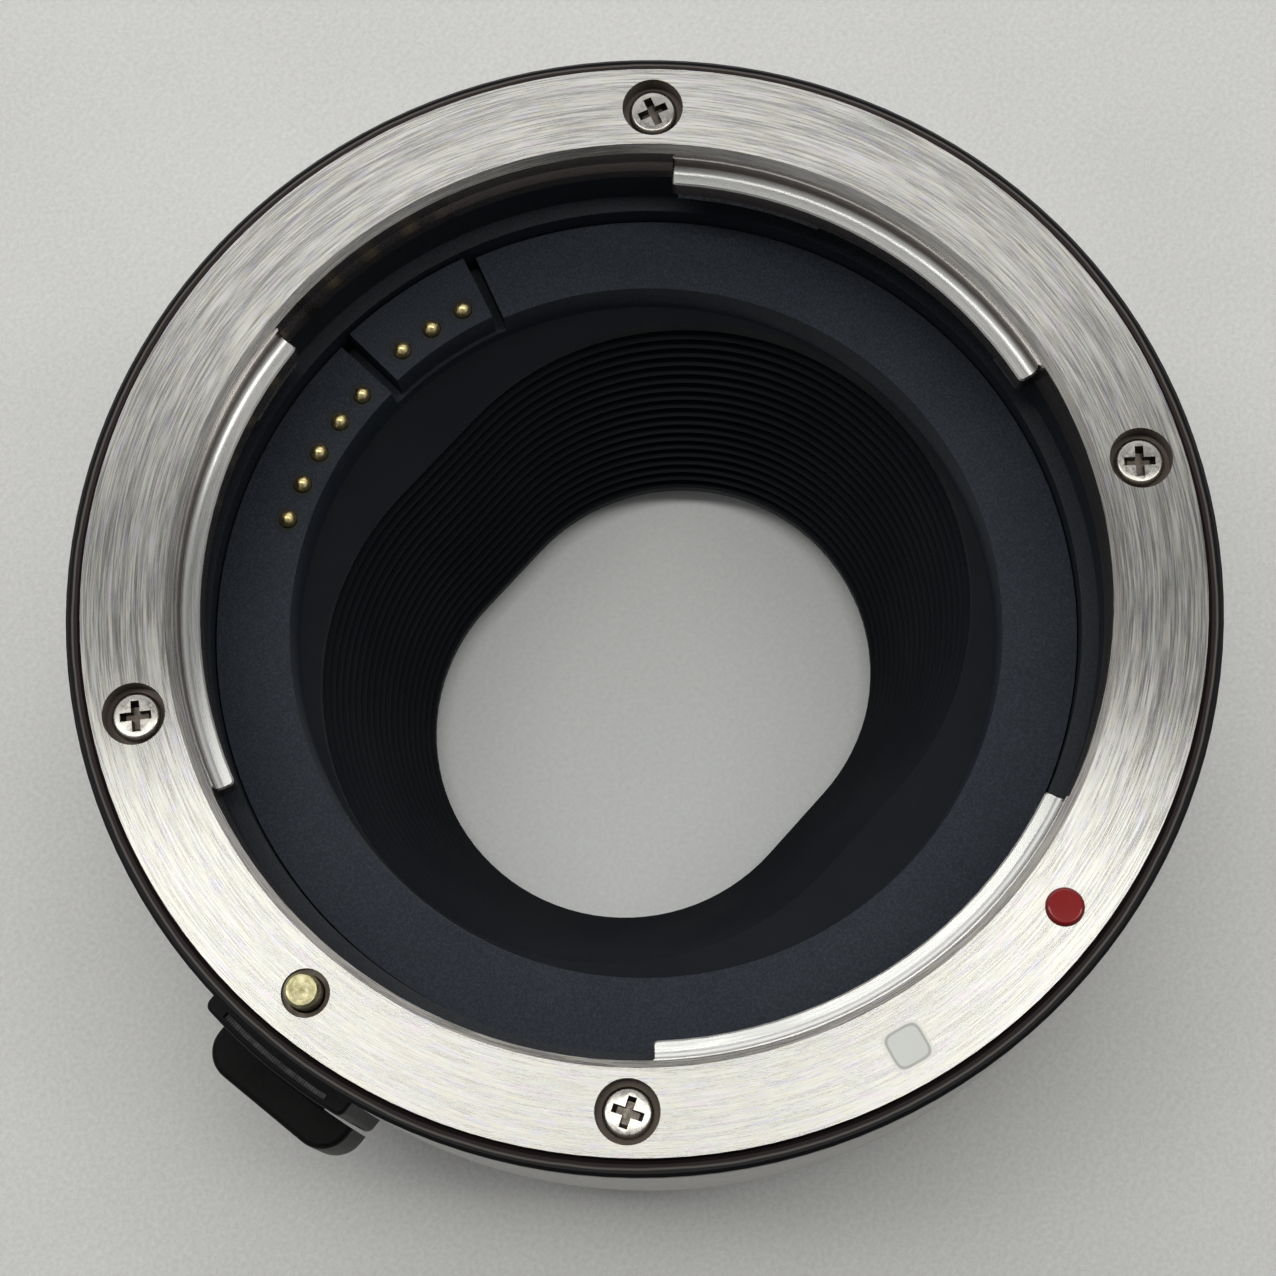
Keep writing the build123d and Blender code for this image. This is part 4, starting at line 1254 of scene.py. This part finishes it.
@dataclass
class LensRelease:
    """The lever, the guard round it with its ribbed strip, whose pale grey is a painted highlight, and the
    lock pin in a dark bush that stands for the shade in its hole.
    """

    pin_centre: Place = (29.76 * MM, 0.0)
    bush_radii: tuple[float, float] = (1.08 * MM, 1.36 * MM)
    bush_top: float = -0.3 * MM
    bush_height: float = 1.2 * MM
    strip_inner: float = 33.62 * MM
    strip_outer: float = 33.93 * MM
    strip_foot: float = -5.3 * MM
    strip_half_span: float = 6.3
    ribs: int = 46
    rib_low: float = 0.12 * MM
    rib_high: float = 0.24 * MM

    def bush(self) -> None:
        """Set the brown bush in the lock pin's hole, a dark lining that stands for the shade in the hole."""
        builder = bmesh.new()
        add_bush(builder, self.pin_centre, self.bush_radii, self.bush_top, self.bush_height)
        piece = new_piece("lock_pin_hole_shade_bush", builder)
        # Dark brown lining of the hole: painted shade.
        brown = Lacquer(
            "lock_pin_hole_shade",
            colour=(0.085, 0.064, 0.05),
            shade=(0.05, 0.037, 0.028),
            roughness=0.35,
            metallic=0.6,
        )
        coat(piece, brown)
        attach(piece, "adapter")
        LOG.info("built %s", piece.name)

    def strip(self) -> None:
        """Lay the ribbed strip in the guard's groove, pale grey as a painted highlight on it."""
        builder = bmesh.new()
        steps = 2 * self.ribs
        inner, outer, foot = self.strip_inner, self.strip_outer, self.strip_foot
        rows = []
        for step in range(steps + 1):
            angle = self.strip_half_span * (2 * step / steps - 1)
            crest = foot + (self.rib_high if step % 2 else self.rib_low)
            section = ((inner, foot), (inner, crest), (outer, crest), (outer, foot))
            rows.append([builder.verts.new(on_circle(radius, angle, level)) for radius, level in section])
        for near, far in zip(rows, rows[1:]):
            for side in range(4):
                after = (side + 1) % 4
                builder.faces.new((near[side], near[after], far[after], far[side]))
        builder.faces.new(rows[0])
        builder.faces.new(list(reversed(rows[-1])))
        bmesh.ops.recalc_face_normals(builder, faces=builder.faces)
        piece = new_piece("guard_ribs", builder)
        # Pale grey of the strip: a painted highlight on the guard's groove.
        grey = MouldedPlastic(
            "rib_grey_highlight", colour=(0.12, 0.12, 0.127), fleck=(0.26, 0.26, 0.27), roughness=0.45, texture=1500.0
        )
        coat(piece, grey)
        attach(piece, "adapter")
        LOG.info("built %s", piece.name)

    def build(self) -> None:
        """Dress the release's pieces, and build the bush and the strip."""
        self.bush()
        self.strip()
        guard = MouldedPlastic(
            "guard_black",
            colour=(0.005, 0.005, 0.006),
            fleck=(0.009, 0.009, 0.01),
            roughness=0.45,
            texture=3000.0,
            depth=0.000006,
            specular=0.1,
        )
        dress(guard, "lever_bezel")
        lever = MouldedPlastic(
            "lever_black",
            colour=(0.005, 0.005, 0.005),
            fleck=(0.008, 0.008, 0.008),
            roughness=0.45,
            texture=2500.0,
            depth=0.000004,
            specular=0.07,
        )
        dress(lever, "release_lever")
        brass = PlainMetal(
            "lock_pin_brass",
            colour=(0.44, 0.41, 0.26),
            shade=(0.2, 0.18, 0.09),
            roughness=0.28,
            marks=5000.0,
            centre=self.pin_centre,
            grain=Grain.AROUND_AXIS,
        )
        dress(brass, "lock_pin")


@dataclass
class Body:
    """The pale outer barrel, its screws and the male bayonet for the camera."""

    bayonet_bore: float = 20.0 * MM
    screw_circle: float = 26.6 * MM
    screw_level: float = -26.0 * MM
    screw_angles: tuple[float, ...] = (45.0, 135.0, 225.0, 315.0)
    screw: ScrewShape = field(
        default_factory=lambda: ScrewShape(
            head_radius=1.45 * MM,
            head_height=0.8 * MM,
            shank_radius=0.7 * MM,
            shank_length=2.3 * MM,
            edge=0.06 * MM,
            countersunk=True,
        )
    )

    def screws(self) -> None:
        """Build the four countersunk screws of the camera side."""
        places = [
            ScrewPlace(on_circle(self.screw_circle, angle, self.screw_level), angle, from_below=True)
            for angle in self.screw_angles
        ]
        bright = PlainMetal("screw_steel_plain", colour=(0.5, 0.49, 0.47), shade=(0.42, 0.41, 0.39))
        # The dark copy of the steel is a painted shade for the cross recesses.
        dark = PlainMetal(
            "camera_screw_recess_shade", colour=(0.12, 0.11, 0.1), shade=(0.08, 0.075, 0.07), roughness=0.4
        )
        screws = self.screw.build_set("camera_flange_screw_heads", places)
        coat(screws, bright, dark)
        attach(screws, "adapter")
        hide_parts("camera_mount_screws")
        LOG.info("built %s", screws.name)

    def build(self) -> None:
        """Dress the body and build the camera side's screws."""
        barrel = Lacquer(
            "barrel_grey", colour=(0.41, 0.405, 0.395), shade=(0.37, 0.365, 0.36), roughness=0.4, metallic=0.4
        )
        dress(barrel, "barrel")
        index = Lacquer("camera_index_white", colour=(0.8, 0.8, 0.8), shade=(0.7, 0.7, 0.7), roughness=0.3)
        dress(index, "camera_index_dot")
        dress(TurnedSteel("camera_flange_steel", bore=self.bayonet_bore, pockets=False), "camera_mount_ring")
        steel = PlainMetal("inner_screw_steel", colour=(0.4, 0.4, 0.4), shade=(0.3, 0.3, 0.3), roughness=0.3)
        dress(steel, "housing_screws", "contact_ring_screws")
        self.screws()


def numbers(box: tuple) -> list[list[float]]:
    """Turn a box of two corners into plain lists.

    Args:
        box: The lowest and the highest corner.

    Returns:
        The corners as lists of numbers.
    """
    return [[float(value) for value in corner] for corner in box]


def main() -> None:
    """Build the set and every sub-assembly."""
    logging.basicConfig(level=logging.INFO, format="%(message)s")
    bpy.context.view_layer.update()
    bpy.context.scene.view_settings.view_transform = "Standard"
    for assembly in (Studio(), LensMount(), InnerSleeve(), Contacts(), LensRelease(), Body()):
        assembly.build()
        LOG.info("finished %s", type(assembly).__name__)


if __name__ == "__main__":
    main()
